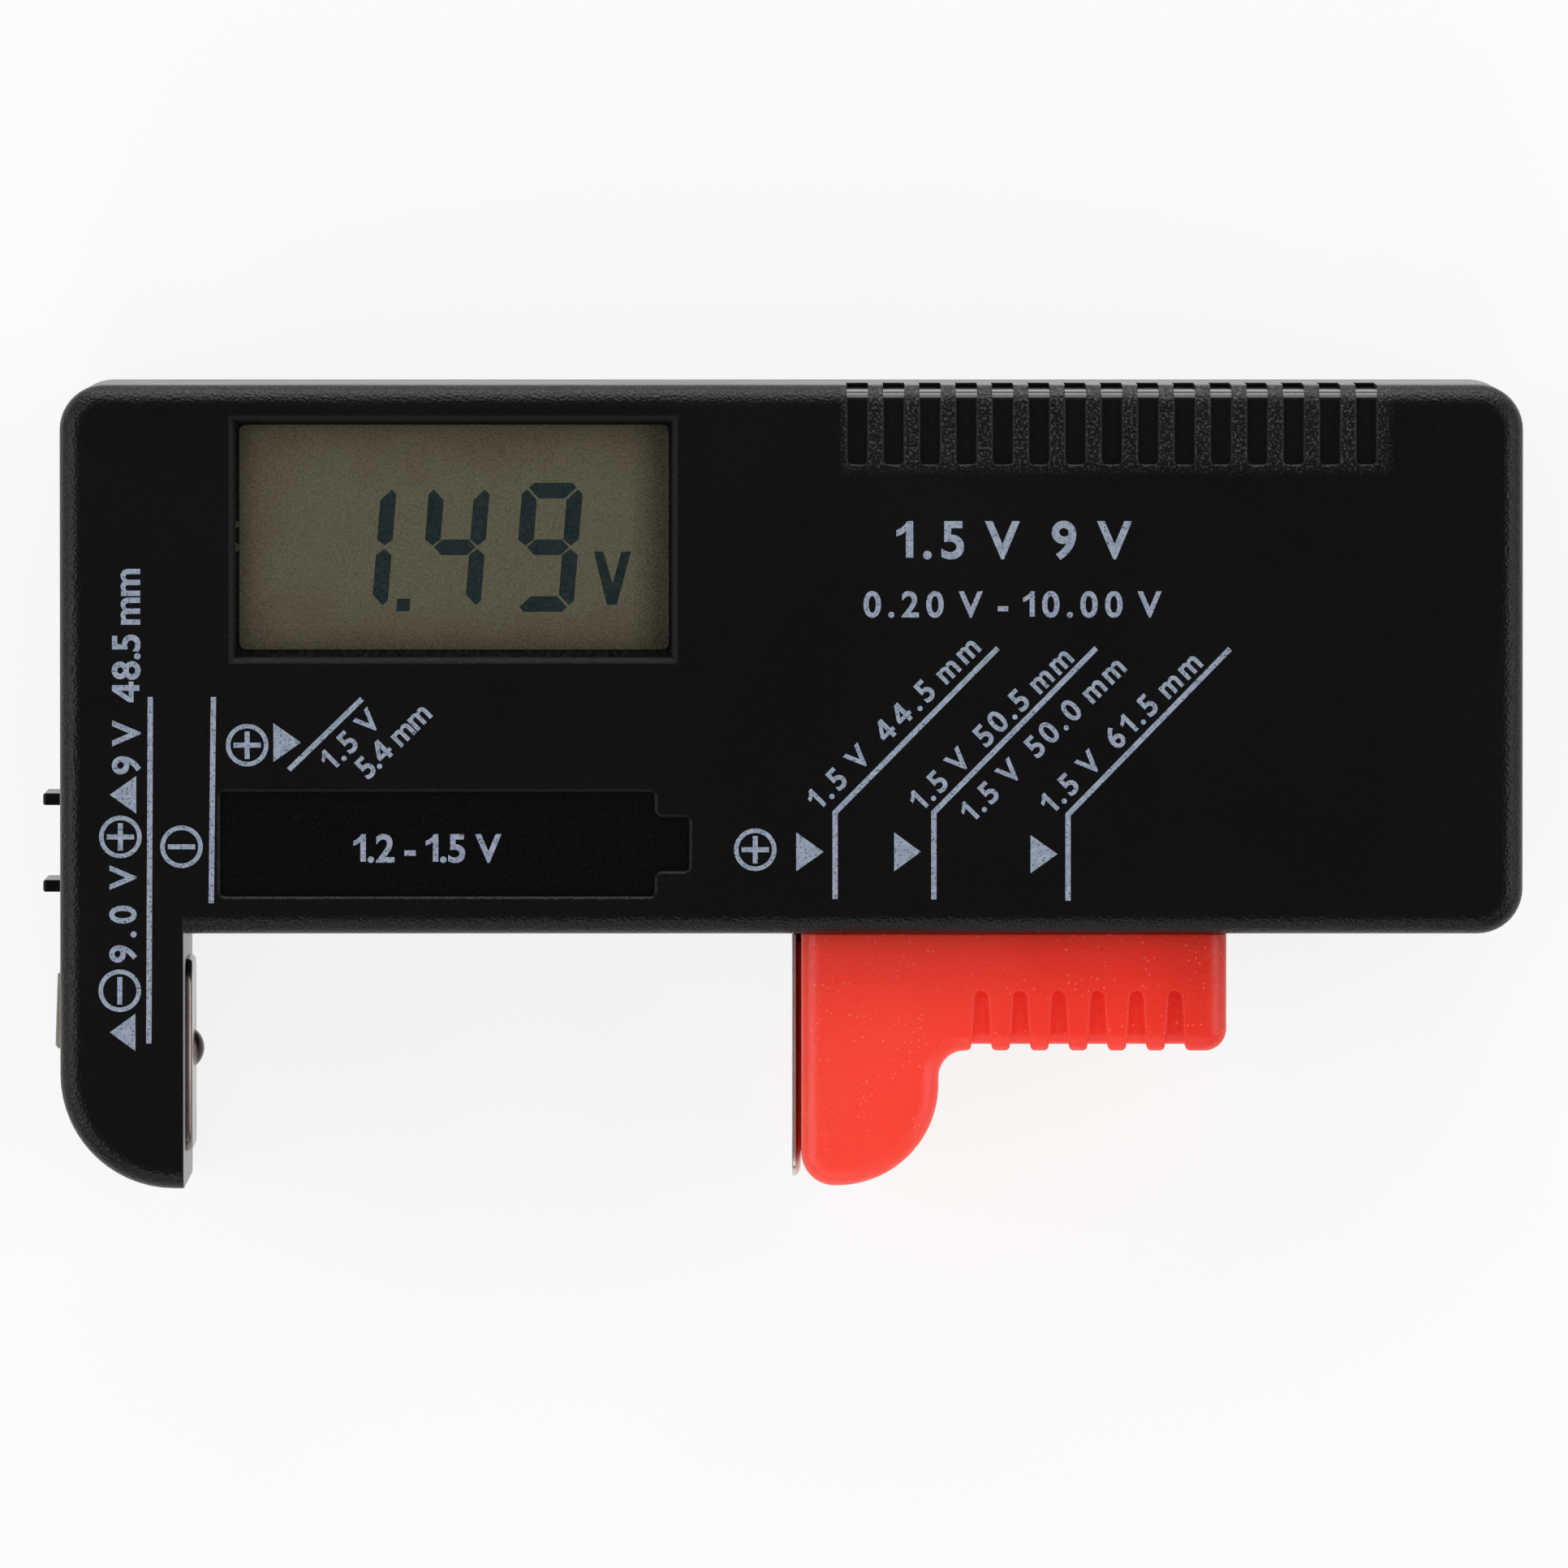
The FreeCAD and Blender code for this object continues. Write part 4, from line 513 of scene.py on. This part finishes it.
def ferrite_finish(node):
    """Drum core: grey ferrite flanges and a copper winding between them, with painted shade between the
    winding's turns.
    """
    low, high = box_mm(node)
    f = Finish("ferrite")
    winding = f.between("Z", low.z + FLANGE, high.z - FLANGE)
    wire_crest_and_painted_shade = f.math("SINE", f.times(f.repeat("Z", TURNS_PER_MM), math.pi))
    # The copper darkens between the turns: painted shade.
    copper = f.blend(wire_crest_and_painted_shade, shade(92, 40, 18), shade(196, 108, 58))
    stone = f.blend(f.noise(per_mm=1.5, detail=4.0), shade(44, 44, 46), shade(72, 72, 74))
    f.drive("Base Color", f.blend(winding, stone, copper))
    f.drive("Metallic", f.times(winding, COPPER_METALLIC))
    f.drive("Roughness", f.grade(winding, at_none=0.62, at_all=0.32))
    f.bump(f.times(wire_crest_and_painted_shade, winding), depth_mm=0.15)
    return f.material


CAN_END = 0.25
STRIPE_FROM = 0.84


def can_finish(name, node, sleeve):
    """Electrolytic capacitor: a printed sleeve with a pale stripe, and a bare aluminium end."""
    low, high = box_mm(node)
    f = Finish(name)
    end = f.math("LESS_THAN", f.axis("Z"), low.z + CAN_END)
    stripe = f.math("GREATER_THAN", f.axis("X"), low.x + STRIPE_FROM * (high.x - low.x))
    jacket = f.blend(f.noise(per_mm=0.4, detail=3.0), sleeve, shade(40, 46, 74))
    jacket = f.blend(stripe, jacket, shade(188, 190, 196))
    f.drive("Base Color", f.blend(end, jacket, shade(190, 190, 188)))
    f.drive("Metallic", end)
    f.rough(f.noise(per_mm=2.0, detail=3.0), at_low=0.28, at_high=0.42)
    f.bump(f.noise(per_mm=1.2), depth_mm=0.02)
    return f.material


LEAD_OVERHANG = 1.8


def banded_finish(name, node, bands):
    """An axial component: colour bands along its body, and tinned leads beyond its ends."""
    low, high = box_mm(node)
    body_start, body_end = low.x + LEAD_OVERHANG, high.x - LEAD_OVERHANG
    f = Finish(name, IOR=1.5)
    body = f.stops(f.span(f.axis("X"), body_start, body_end), bands)
    bare = f.math("SUBTRACT", 1.0, f.between("X", body_start, body_end))
    f.drive("Base Color", f.blend(bare, body, shade(196, 194, 188)))
    f.drive("Metallic", bare)
    f.rough(f.noise(per_mm=2.0, detail=3.0), at_low=0.32, at_high=0.5)
    f.bump(f.noise(per_mm=2.5), depth_mm=0.015)
    return f.material


LEG_LENGTH = 2.0


def transistor_finish(node):
    """Black moulded body on tinned legs."""
    high = box_mm(node)[1]
    f = Finish("component_body", IOR=1.5)
    legs = f.math("GREATER_THAN", f.axis("Z"), high.z - LEG_LENGTH)
    body = f.blend(f.noise(per_mm=2.5, detail=3.0), shade(26, 26, 27), shade(46, 45, 45))
    f.drive("Base Color", f.blend(legs, body, shade(198, 196, 190)))
    f.drive("Metallic", legs)
    f.rough(f.noise(per_mm=3.0), at_low=0.42, at_high=0.6)
    f.bump(f.noise(per_mm=5.0), depth_mm=0.015)
    return f.material


TAN = shade(206, 178, 134)
GOLD = shade(190, 148, 62)
RESISTOR_BANDS = {
    "cell_load_resistor": (shade(120, 62, 28), shade(28, 26, 26), shade(28, 26, 26)),
    "nine_volt_load_resistor": (shade(214, 104, 36), shade(214, 104, 36), shade(120, 62, 28)),
}
RESISTOR_BAND_PLACES = (0.0, 0.14, 0.24, 0.34, 0.44, 0.52, 0.62, 0.78, 0.88)
DIODE_BAND_PLACES = (0.0, 0.72, 0.86)


def resistor_finish(node):
    """Three coloured bands and a gold one on a tan body."""
    first, second, third = RESISTOR_BANDS[node]
    colours = (TAN, first, TAN, second, TAN, third, TAN, GOLD, TAN)
    return banded_finish(node, node, list(zip(RESISTOR_BAND_PLACES, colours)))


def diode_finish(node):
    """A pale band near one end of a black body."""
    colours = (shade(24, 24, 25), shade(190, 190, 190), shade(24, 24, 25))
    return banded_finish("diode_body", node, list(zip(DIODE_BAND_PLACES, colours)))


def finish_nodes():
    """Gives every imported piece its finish."""
    case = case_finish()
    plate = plate_finish("contact_plate", shade(214, 209, 203), shade(184, 173, 160))
    # The pad's darker tints are a painted dark reflection, on top of its stains.
    pad_with_painted_reflection = plate_finish("contact_pad_painted_reflection", shade(138, 131, 124), shade(100, 90, 81), "negative_contact")
    screw = screw_finish()
    black_wire = wire_finish("wire_black", shade(24, 24, 25), shade(40, 40, 42))
    finishes = {
        "front_shell": case,
        "rear_shell": case,
        "case_screws": screw,
        "board_screws": screw,
        "slider_body": slider_finish("slider_body"),
        "slider_contact": plate,
        "negative_contact": pad_with_painted_reflection,
        "nine_volt_positive_contact": plate,
        "nine_volt_negative_contact": plate,
        "rail_strip": brass_finish(),
        "lcd_front_polariser": film_finish("lcd_front_polariser"),
        "lcd_cell": glass_finish(),
        "lcd_rear_reflector": back_film_finish(),
        "lcd_spacer": spacer_finish(),
        "zebra_strip": zebra_finish(),
        "circuit_board": board_finish(),
        "controller_blob": epoxy_finish(),
        "boost_inductor": ferrite_finish("boost_inductor"),
        "filter_capacitor": can_finish("can_sleeve_small", "filter_capacitor", shade(22, 26, 48)),
        "storage_capacitor": can_finish("can_sleeve", "storage_capacitor", shade(24, 28, 52)),
        "boost_transistor": transistor_finish("boost_transistor"),
        "rectifier_diode": diode_finish("rectifier_diode"),
        "cell_load_resistor": resistor_finish("cell_load_resistor"),
        "nine_volt_load_resistor": resistor_finish("nine_volt_load_resistor"),
        "negative_wire": black_wire,
        "nine_volt_negative_wire": black_wire,
        "nine_volt_positive_wire": wire_finish("wire_red", shade(176, 26, 24), shade(200, 40, 34)),
        "rail_wire": wire_finish("wire_yellow", shade(214, 176, 40), shade(232, 198, 66)),
    }
    for name, node in nodes.items():
        node.data.materials.clear()
        node.data.materials.append(finishes[name])


# Printed marks and display segments: flat shapes, a fraction of a millimetre thick, in millimetres
INK_SINK = 0.01
INK_RISE = 0.015
WELD = 1e-4


def flat_piece(name, shapes, level, material, rise=INK_RISE):
    """One piece of thin prisms, each drawn as a ring of points in the plane of the face that carries it."""
    mesh = bmesh.new()
    for points in shapes:
        add_prism(mesh, points, (level - INK_SINK) * MM, (level + rise) * MM, MM)
    add_piece(name, mesh, material)


def add_prism(mesh, points, bottom, top, scale):
    """A closed prism between two heights over a ring of points."""
    low = [mesh.verts.new((x * scale, y * scale, bottom)) for x, y in points]
    high = [mesh.verts.new((x * scale, y * scale, top)) for x, y in points]
    faces = [mesh.faces.new(low), mesh.faces.new(high)]
    for i in range(len(points)):
        faces.append(mesh.faces.new((low[i - 1], low[i], high[i], high[i - 1])))
    bmesh.ops.recalc_face_normals(mesh, faces=faces)


def weld(mesh):
    """Joins prisms that meet, and removes the faces that are shut in between them."""
    bmesh.ops.remove_doubles(mesh, verts=mesh.verts[:], dist=WELD * MM)
    shut_in = [face for face in mesh.faces if all(len(edge.link_faces) > 2 for edge in face.edges)]
    bmesh.ops.delete(mesh, geom=shut_in, context="FACES_ONLY")


def add_piece(name, mesh, material):
    """Turns a finished mesh into a piece that rides on the case."""
    weld(mesh)
    data = bpy.data.meshes.new(name)
    mesh.to_mesh(data)
    mesh.free()
    data.materials.append(material)
    piece = bpy.data.objects.new(name, data)
    bpy.context.scene.collection.objects.link(piece)
    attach(piece, "case")


MITRE_LIMIT = 0.3


def stroke(points, width):
    """The outline of a line of even width through the points, with square ends and mitred corners."""
    spots = [Vector(point) for point in points]
    left, right = [], []
    for i, spot in enumerate(spots):
        before = (spot - spots[i - 1]).normalized() if i else None
        after = (spots[i + 1] - spot).normalized() if i + 1 < len(spots) else None
        run = ((before or after) + (after or before)).normalized()
        across = Vector((-run.y, run.x))
        reach = width / 2 / max(MITRE_LIMIT, run.dot(after or before))
        left.append(spot + across * reach)
        right.append(spot - across * reach)
    return [tuple(point) for point in left + right[::-1]]


HALF_RING_STEPS = 20


def arc(centre, radius, turns):
    """Points on a circle at some turns in radians."""
    return [(centre[0] + radius * math.cos(turn), centre[1] + radius * math.sin(turn)) for turn in turns]


def ring(centre, radius, width):
    """A circle of even line width, as two half rings."""
    halves = []
    for start in (0.0, math.pi):
        turns = [start + math.pi * i / HALF_RING_STEPS for i in range(HALF_RING_STEPS + 1)]
        halves.append(arc(centre, radius, turns) + arc(centre, radius - width, turns[::-1]))
    return halves


SIGN_RADIUS = 1.6
SIGN_LINE = 0.34
SIGN_ARM = 1.03
SIGN_ARM_HALF = 0.55 * SIGN_LINE


def sign(centre, level=True, upright=True):
    """A plus sign in a circle, or a minus sign where only one of its arms is asked for."""
    arm, half = SIGN_ARM, SIGN_ARM_HALF
    if level and upright:
        quarter = [(arm, -half), (arm, half), (half, half), (half, arm), (-half, arm), (-half, half)]
        corners = quarter + [(-u, -v) for u, v in quarter]
    else:
        u, v = (arm, half) if level else (half, arm)
        corners = [(-u, -v), (u, -v), (u, v), (-u, v)]
    x, y = centre
    return ring(centre, SIGN_RADIUS, SIGN_LINE) + [[(x + u, y + v) for u, v in corners]]


def arrow(tip, base, half):
    """A solid triangle from the middle of its base to its tip, both level."""
    return [tip, (base, tip[1] + half), (base, tip[1] - half)]


# Where the marks lie: lines by their points, arrows by (tip, base, half width), signs by their centres
PRINT_LINE = 0.40
RECESS_DEPTH = 0.35
FACE = cad_high.z / MM
RECESS_FLOOR = FACE - RECESS_DEPTH
LINES = {
    "nine_volt_line": [(-47.40, 6.80), (-47.54, -19.26)],
    "jaw_line": [(-42.66, 6.80), (-42.84, -8.70)],
    "button_cell_line": [(-37.00, 1.32), (-31.50, 6.66)],
    "short_cell_line": [(4.04, -8.39), (4.04, -1.88), (16.26, 10.48)],
    "middle_cell_line": [(11.46, -8.42), (11.46, -1.88), (23.65, 10.48)],
    "long_cell_line": [(21.54, -8.52), (21.54, -2.04), (33.70, 10.42)],
}
ARROWS = {
    "nine_volt_plus_arrow": ((-50.46, -0.55), -48.47, 1.41),
    "nine_volt_minus_arrow": ((-50.47, -18.42), -48.55, 1.41),
    "button_cell_arrow": ((-36.10, 3.38), -38.16, 1.46),
    "short_cell_arrow": ((3.18, -4.84), 1.12, 1.46),
    "middle_cell_arrow": ((10.48, -4.84), 8.48, 1.46),
    "long_cell_arrow": ((20.75, -5.01), 18.72, 1.44),
}
PLUS_SIGNS = {
    "button_cell_plus": (-40.13, 3.18),
    "nine_volt_plus": (-49.66, -3.72),
    "cell_plus": (-1.96, -4.68),
}

# Each minus sign's centre, and whether its bar is level
MINUS_SIGNS = {
    "cell_minus": ((-45.07, -4.46), True),
    "nine_volt_minus": ((-49.72, -15.29), False),
}

# Lettering: plain voltages and cell lengths, each (text, middle, length, height, turn in degrees)
LABELS = {
    "range_large": ("1.5 V  9 V", (17.49, 18.64), 17.7, 2.75, 0),
    "range_small": ("0.20 V - 10.00 V", (17.37, 13.79), 22.4, 1.9, 0),
    "nine_volt_length": ("9 V  48.5 mm", (-49.25, 8.70), 14.3, 2.05, 90),
    "nine_volt_value": ("9.0 V", (-49.51, -9.51), 7.5, 1.95, 90),
    "button_cell_value": ("1.5 V", (-32.40, 3.63), 5.3, 1.65, 45),
    "button_cell_length": ("5.4 mm", (-29.20, 3.58), 6.6, 1.65, 45),
    "short_cell_length": ("1.5 V  44.5 mm", (8.37, 4.89), 17.2, 1.65, 45),
    "middle_cell_length": ("1.5 V  50.5 mm", (15.70, 4.45), 16.2, 1.65, 45),
    "wide_cell_length": ("1.5 V  50.0 mm", (19.59, 3.67), 16.4, 1.65, 45),
    "long_cell_length": ("1.5 V  61.5 mm", (25.45, 4.16), 16.0, 1.65, 45),
}
RECESS_LABEL = ("1.2 - 1.5 V", (-26.60, -4.56), 10.5, 2.07, 0)

# Letter shapes, in shares of a capital's height
BOLD = 0.024
WORD_SPACE = 0.30
LEAST_GAP = 0.06
MOST_GAP = 0.30
HALF_DEPTH = 0.5
HALF_HEIGHT = 0.5
CURVE_STEPS = 6
ONE = [
    (0.28, 0.0),
    (0.48, 0.0),
    (0.48, 1.0),
    (0.32, 1.0),
    (0.25, 0.90),
    (0.14, 0.81),
    (0.02, 0.75),
    (0.02, 0.58),
    (0.16, 0.63),
    (0.28, 0.72),
]
FOUR_ARM = [
    (0.0, 0.21),
    (0.42, 0.21),
    (0.42, 0.39),
    (0.21, 0.39),
    (0.42, 0.69),
    (0.42, 1.0),
    (0.0, 0.39),
]
FOUR_STEM = [
    (0.42, 0.0),
    (0.63, 0.0),
    (0.63, 0.21),
    (0.76, 0.21),
    (0.76, 0.39),
    (0.63, 0.39),
    (0.63, 1.0),
    (0.42, 1.0),
    (0.42, 0.69),
    (0.42, 0.39),
    (0.42, 0.21),
]
DRAWN = {"1": [ONE], "4": [FOUR_ARM, FOUR_STEM]}


def glyph(character):
    """One character as a solid that stands on the base line, a capital's height being 1."""
    mesh = bmesh.new()
    if character in DRAWN:
        for outline in DRAWN[character]:
            add_prism(mesh, outline, -HALF_DEPTH, HALF_DEPTH, 1.0)
        return mesh
    outline = font_mesh(character)
    capital = font_mesh("V")
    height = max(v.co.y for v in capital.vertices)
    mesh.from_mesh(outline)
    mesh.transform(Matrix.Diagonal((1 / height, 1 / height, 1, 1)))
    for used in (outline, capital):
        bpy.data.meshes.remove(used)
    return mesh


def font_mesh(character):
    """A character in Blender's own font, a little bolder."""
    curve = bpy.data.curves.new("letter", "FONT")
    curve.body = character
    curve.offset = BOLD
    curve.extrude = HALF_DEPTH
    curve.resolution_u = CURVE_STEPS
    letter = bpy.data.objects.new("letter", curve)
    mesh = bpy.data.meshes.new_from_object(letter)
    bpy.data.objects.remove(letter)
    bpy.data.curves.remove(curve)
    return mesh


def lettering(name, label, level, material):
    """A line of characters as thin solids, spaced out to a length."""
    text, middle, length, height, turn = label
    letters = [glyph(character) for character in text if character != " "]
    sides = [(min(v.co.x for v in letter.verts), max(v.co.x for v in letter.verts)) for letter in letters]
    inked = sum(right - left for left, right in sides) + WORD_SPACE * text.count(" ")
    gap = min(MOST_GAP, max(LEAST_GAP, (length / height - inked) / (len(letters) - 1)))
    start = -(inked + gap * (len(letters) - 1)) / 2
    thick = (INK_SINK + INK_RISE) / height
    seat = Matrix.Translation(Vector((*middle, level + (INK_RISE - INK_SINK) / 2)) * MM)
    face = seat @ Matrix.Rotation(math.radians(turn), 4, "Z") @ Matrix.Scale(height * MM, 4)
    whole = bmesh.new()
    for character in text:
        if character == " ":
            start += WORD_SPACE
            continue
        letter = letters.pop(0)
        left, right = sides.pop(0)
        aside = Matrix.Translation((start - left, -HALF_HEIGHT, 0))
        letter.transform(aside @ Matrix.Diagonal((1, 1, thick, 1)))
        start += right - left + gap
        letter.transform(face)
        placed = bpy.data.meshes.new("letter")
        letter.to_mesh(placed)
        letter.free()
        whole.from_mesh(placed)
        bpy.data.meshes.remove(placed)
    add_piece(name, whole, material)


def print_marks():
    """The pale marks on the display face."""
    ink = ink_finish()
    for name, points in LINES.items():
        flat_piece(f"print_{name}", [stroke(points, PRINT_LINE)], FACE, ink)
    for name, (tip, base, half) in ARROWS.items():
        flat_piece(f"print_{name}", [arrow(tip, base, half)], FACE, ink)
    for name, centre in PLUS_SIGNS.items():
        flat_piece(f"print_{name}", sign(centre), FACE, ink)
    for name, (centre, level) in MINUS_SIGNS.items():
        flat_piece(f"print_{name}", sign(centre, level, not level), FACE, ink)
    for name, label in LABELS.items():
        lettering(f"print_{name}", label, FACE, ink)
    lettering("print_cell_value", RECESS_LABEL, RECESS_FLOOR, ink)


# Display reading: seven-segment digits that lean to the right
DIGIT_WIDTH = 4.56
DIGIT_HEIGHT = 9.69
DIGIT_PITCH = 7.0
DIGIT_LEFT = -34.22
DIGIT_FOOT = 13.16
SEGMENT = 1.16
SEGMENT_GAP = 0.14
CORNER_CUT = 0.36
LEAN = math.tan(math.radians(4.6))
SEGMENTS_OF = {"1": "bc", "4": "bcfg", "9": "abcdfg"}
READING = "149"
POINT = [(-28.95, 13.20), (-27.97, 13.20), (-27.90, 14.14), (-28.88, 14.14)]
VOLT = [
    (-14.09, 17.67),
    (-13.12, 13.69),
    (-12.37, 13.69),
    (-11.32, 17.67),
    (-12.02, 17.67),
    (-12.69, 15.26),
    (-13.39, 17.67),
]

# The resin tabs' lower and upper ends, their reach left of the film, their lap over it and their taper
SEALS = ((19.43, 20.03), (17.63, 18.36))
SEAL_REACH = 0.28
SEAL_LAP = 0.02
SEAL_TAPER = 0.25


def digit_segments():
    """The segments that the reading needs, each a ring of points from a digit's lower left corner."""
    w, h, t, g, c = DIGIT_WIDTH, DIGIT_HEIGHT, SEGMENT, SEGMENT_GAP, CORNER_CUT
    middle = h / 2
    half = t / 2
    upper_right = [
        (w - t, h - t - g),
        (w - c, h - c - g),
        (w, h - 2 * c - g),
        (w, middle + half),
        (w - half, middle + g),
        (w - t, middle + half),
    ]
    top = [
        (c + g, h - c),
        (2 * c + g, h),
        (w - 2 * c - g, h),
        (w - c - g, h - c),
        (w - t - g, h - t),
        (t + g, h - t),
    ]
    bar = [
        (half + g, middle),
        (t + g, middle + half),
        (w - t - g, middle + half),
        (w - half - g, middle),
        (w - t - g, middle - half),
        (t + g, middle - half),
    ]

    def turned(points):
        return [(x, h - y) for x, y in points]

    return {
        "a": top,
        "b": upper_right,
        "c": turned(upper_right),
        "d": turned(top),
        "f": [(w - x, y) for x, y in upper_right],
        "g": bar,
    }


def display_reading():
    """The digits, the decimal point and the unit on the display's film."""
    segments = digit_segments()
    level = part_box("lcd_front_polariser")[1].z / MM
    shapes = [POINT, VOLT]
    for place, digit in enumerate(READING):
        left = DIGIT_LEFT + place * DIGIT_PITCH
        for name in SEGMENTS_OF[digit]:
            shapes.append([(left + x + y * LEAN, DIGIT_FOOT + y) for x, y in segments[name]])
    flat_piece("display_reading", shapes, level, segment_finish())


def display_seal():
    """Two tabs of resin between the film and the window's left wall."""
    film_low, film_high = box_mm("lcd_front_polariser")
    left, right = film_low.x - SEAL_REACH, film_low.x + SEAL_LAP
    tabs = []
    for foot, head in SEALS:
        inset = SEAL_TAPER * (head - foot)
        tabs.append([(left, foot), (right, foot + inset), (right, head - inset), (left, head)])
    thick = film_high.z - film_low.z
    flat_piece("display_seal", tabs, film_low.z, seal_finish(), rise=thick)


# Stage: each lamp's place and size in metres, and its power in watts
LAMPS = {
    "left": ((-0.74, -0.02, 0.52), (0.90, 0.60), 4.3),
    "right": ((0.74, 0.02, 0.52), (0.90, 0.60), 4.2),
    "low": ((-0.10, -0.76, 0.50), (0.70, 0.45), 1.7),
    "low_fill": ((-0.10, -0.76, 0.50), (0.70, 0.45), 3.0),
    "high": ((0.0, 0.78, 0.50), (0.90, 0.45), 3.6),
    "top_strip": ((0.0, 0.95, 0.085), (1.30, 0.15), 6.5),
}
UNMIRRORED_LAMP = "low_fill"
WHITE = (1, 1, 1, 1)
FLOOR_SIZE = 12.0
FLOOR_COLOUR = (0.86, 0.86, 0.86, 1)
FLOOR_ROUGHNESS = 0.9
FLOOR_WHITE = 0.84

# The sky's strength goes from the horizon's to the zenith's as the direction rises
SKY_FADE = {"From Min": 0.15, "From Max": 0.8, "To Min": 0.25, "To Max": 0.05}


def floor():
    """A white floor that shows the shadow."""
    mesh = bmesh.new()
    bmesh.ops.create_grid(mesh, x_segments=1, y_segments=1, size=FLOOR_SIZE / 2)
    data = bpy.data.meshes.new("floor")
    mesh.to_mesh(data)
    mesh.free()
    matt = {"Roughness": FLOOR_ROUGHNESS, "Specular_IOR_Level": 0.0}
    f = Finish("floor_white", Base_Color=FLOOR_COLOUR, **matt)
    rays = f.node("LightPath").outputs
    seen = rays["Is Camera Ray"]
    for ray in ("Is Glossy Ray", "Is Transmission Ray"):
        seen = f.math("MAXIMUM", seen, rays[ray])
    white = f.node("Emission").outputs[0]
    layers = {0: f.times(seen, FLOOR_WHITE), 1: f.surface.outputs[0], 2: white}
    mixed = f.node("MixShader", layers).outputs[0]
    f.put(f.tree.nodes["Material Output"].inputs["Surface"], mixed)
    data.materials.append(f.material)
    plane = bpy.data.objects.new("floor", data)
    bpy.context.scene.collection.objects.link(plane)


def studio_light():
    """A dim zenith over a pale horizon, and soft lamps well off the camera's line."""
    world = bpy.data.worlds.new("studio")
    bpy.context.scene.world = world
    world.use_nodes = True
    tree = world.node_tree
    place = tree.nodes.new("ShaderNodeTexCoord")
    parts = tree.nodes.new("ShaderNodeSeparateXYZ")
    rise = tree.nodes.new("ShaderNodeMapRange")
    sky = tree.nodes["Background"]
    for limit, value in SKY_FADE.items():
        rise.inputs[limit].default_value = value
    tree.links.new(place.outputs["Generated"], parts.inputs[0])
    tree.links.new(parts.outputs["Z"], rise.inputs["Value"])
    tree.links.new(rise.outputs[0], sky.inputs["Strength"])
    sky.inputs["Color"].default_value = WHITE
    for name, (spot, (width, height), watts) in LAMPS.items():
        light = bpy.data.lights.new(name, "AREA")
        light.shape = "RECTANGLE"
        light.size = width
        light.size_y = height
        light.energy = watts
        lamp = bpy.data.objects.new(name, light)
        lamp.visible_glossy = name != UNMIRRORED_LAMP
        lamp.location = spot
        lamp.rotation_euler = (-Vector(spot)).to_track_quat("-Z", "Y").to_euler()
        bpy.context.scene.collection.objects.link(lamp)


def camera():
    """The photograph's viewpoint."""
    lens = bpy.data.cameras.new("photo_view")
    lens.angle = 2 * math.atan(VIEW_WIDTH / 2 / VIEW_DISTANCE)
    lens.clip_start = VIEW_CLIP
    eye = bpy.data.objects.new("photo_view", lens)
    rise = Vector((0, math.sin(VIEW_TILT), math.cos(VIEW_TILT))) * VIEW_DISTANCE
    eye.location = VIEW_AIM + rise
    eye.rotation_euler = (-VIEW_TILT, 0, 0)
    bpy.context.scene.collection.objects.link(eye)
    bpy.context.scene.camera = eye


finish_nodes()
print_marks()
display_reading()
display_seal()
floor()
studio_light()
camera()
bpy.context.scene.view_settings.view_transform = "Standard"
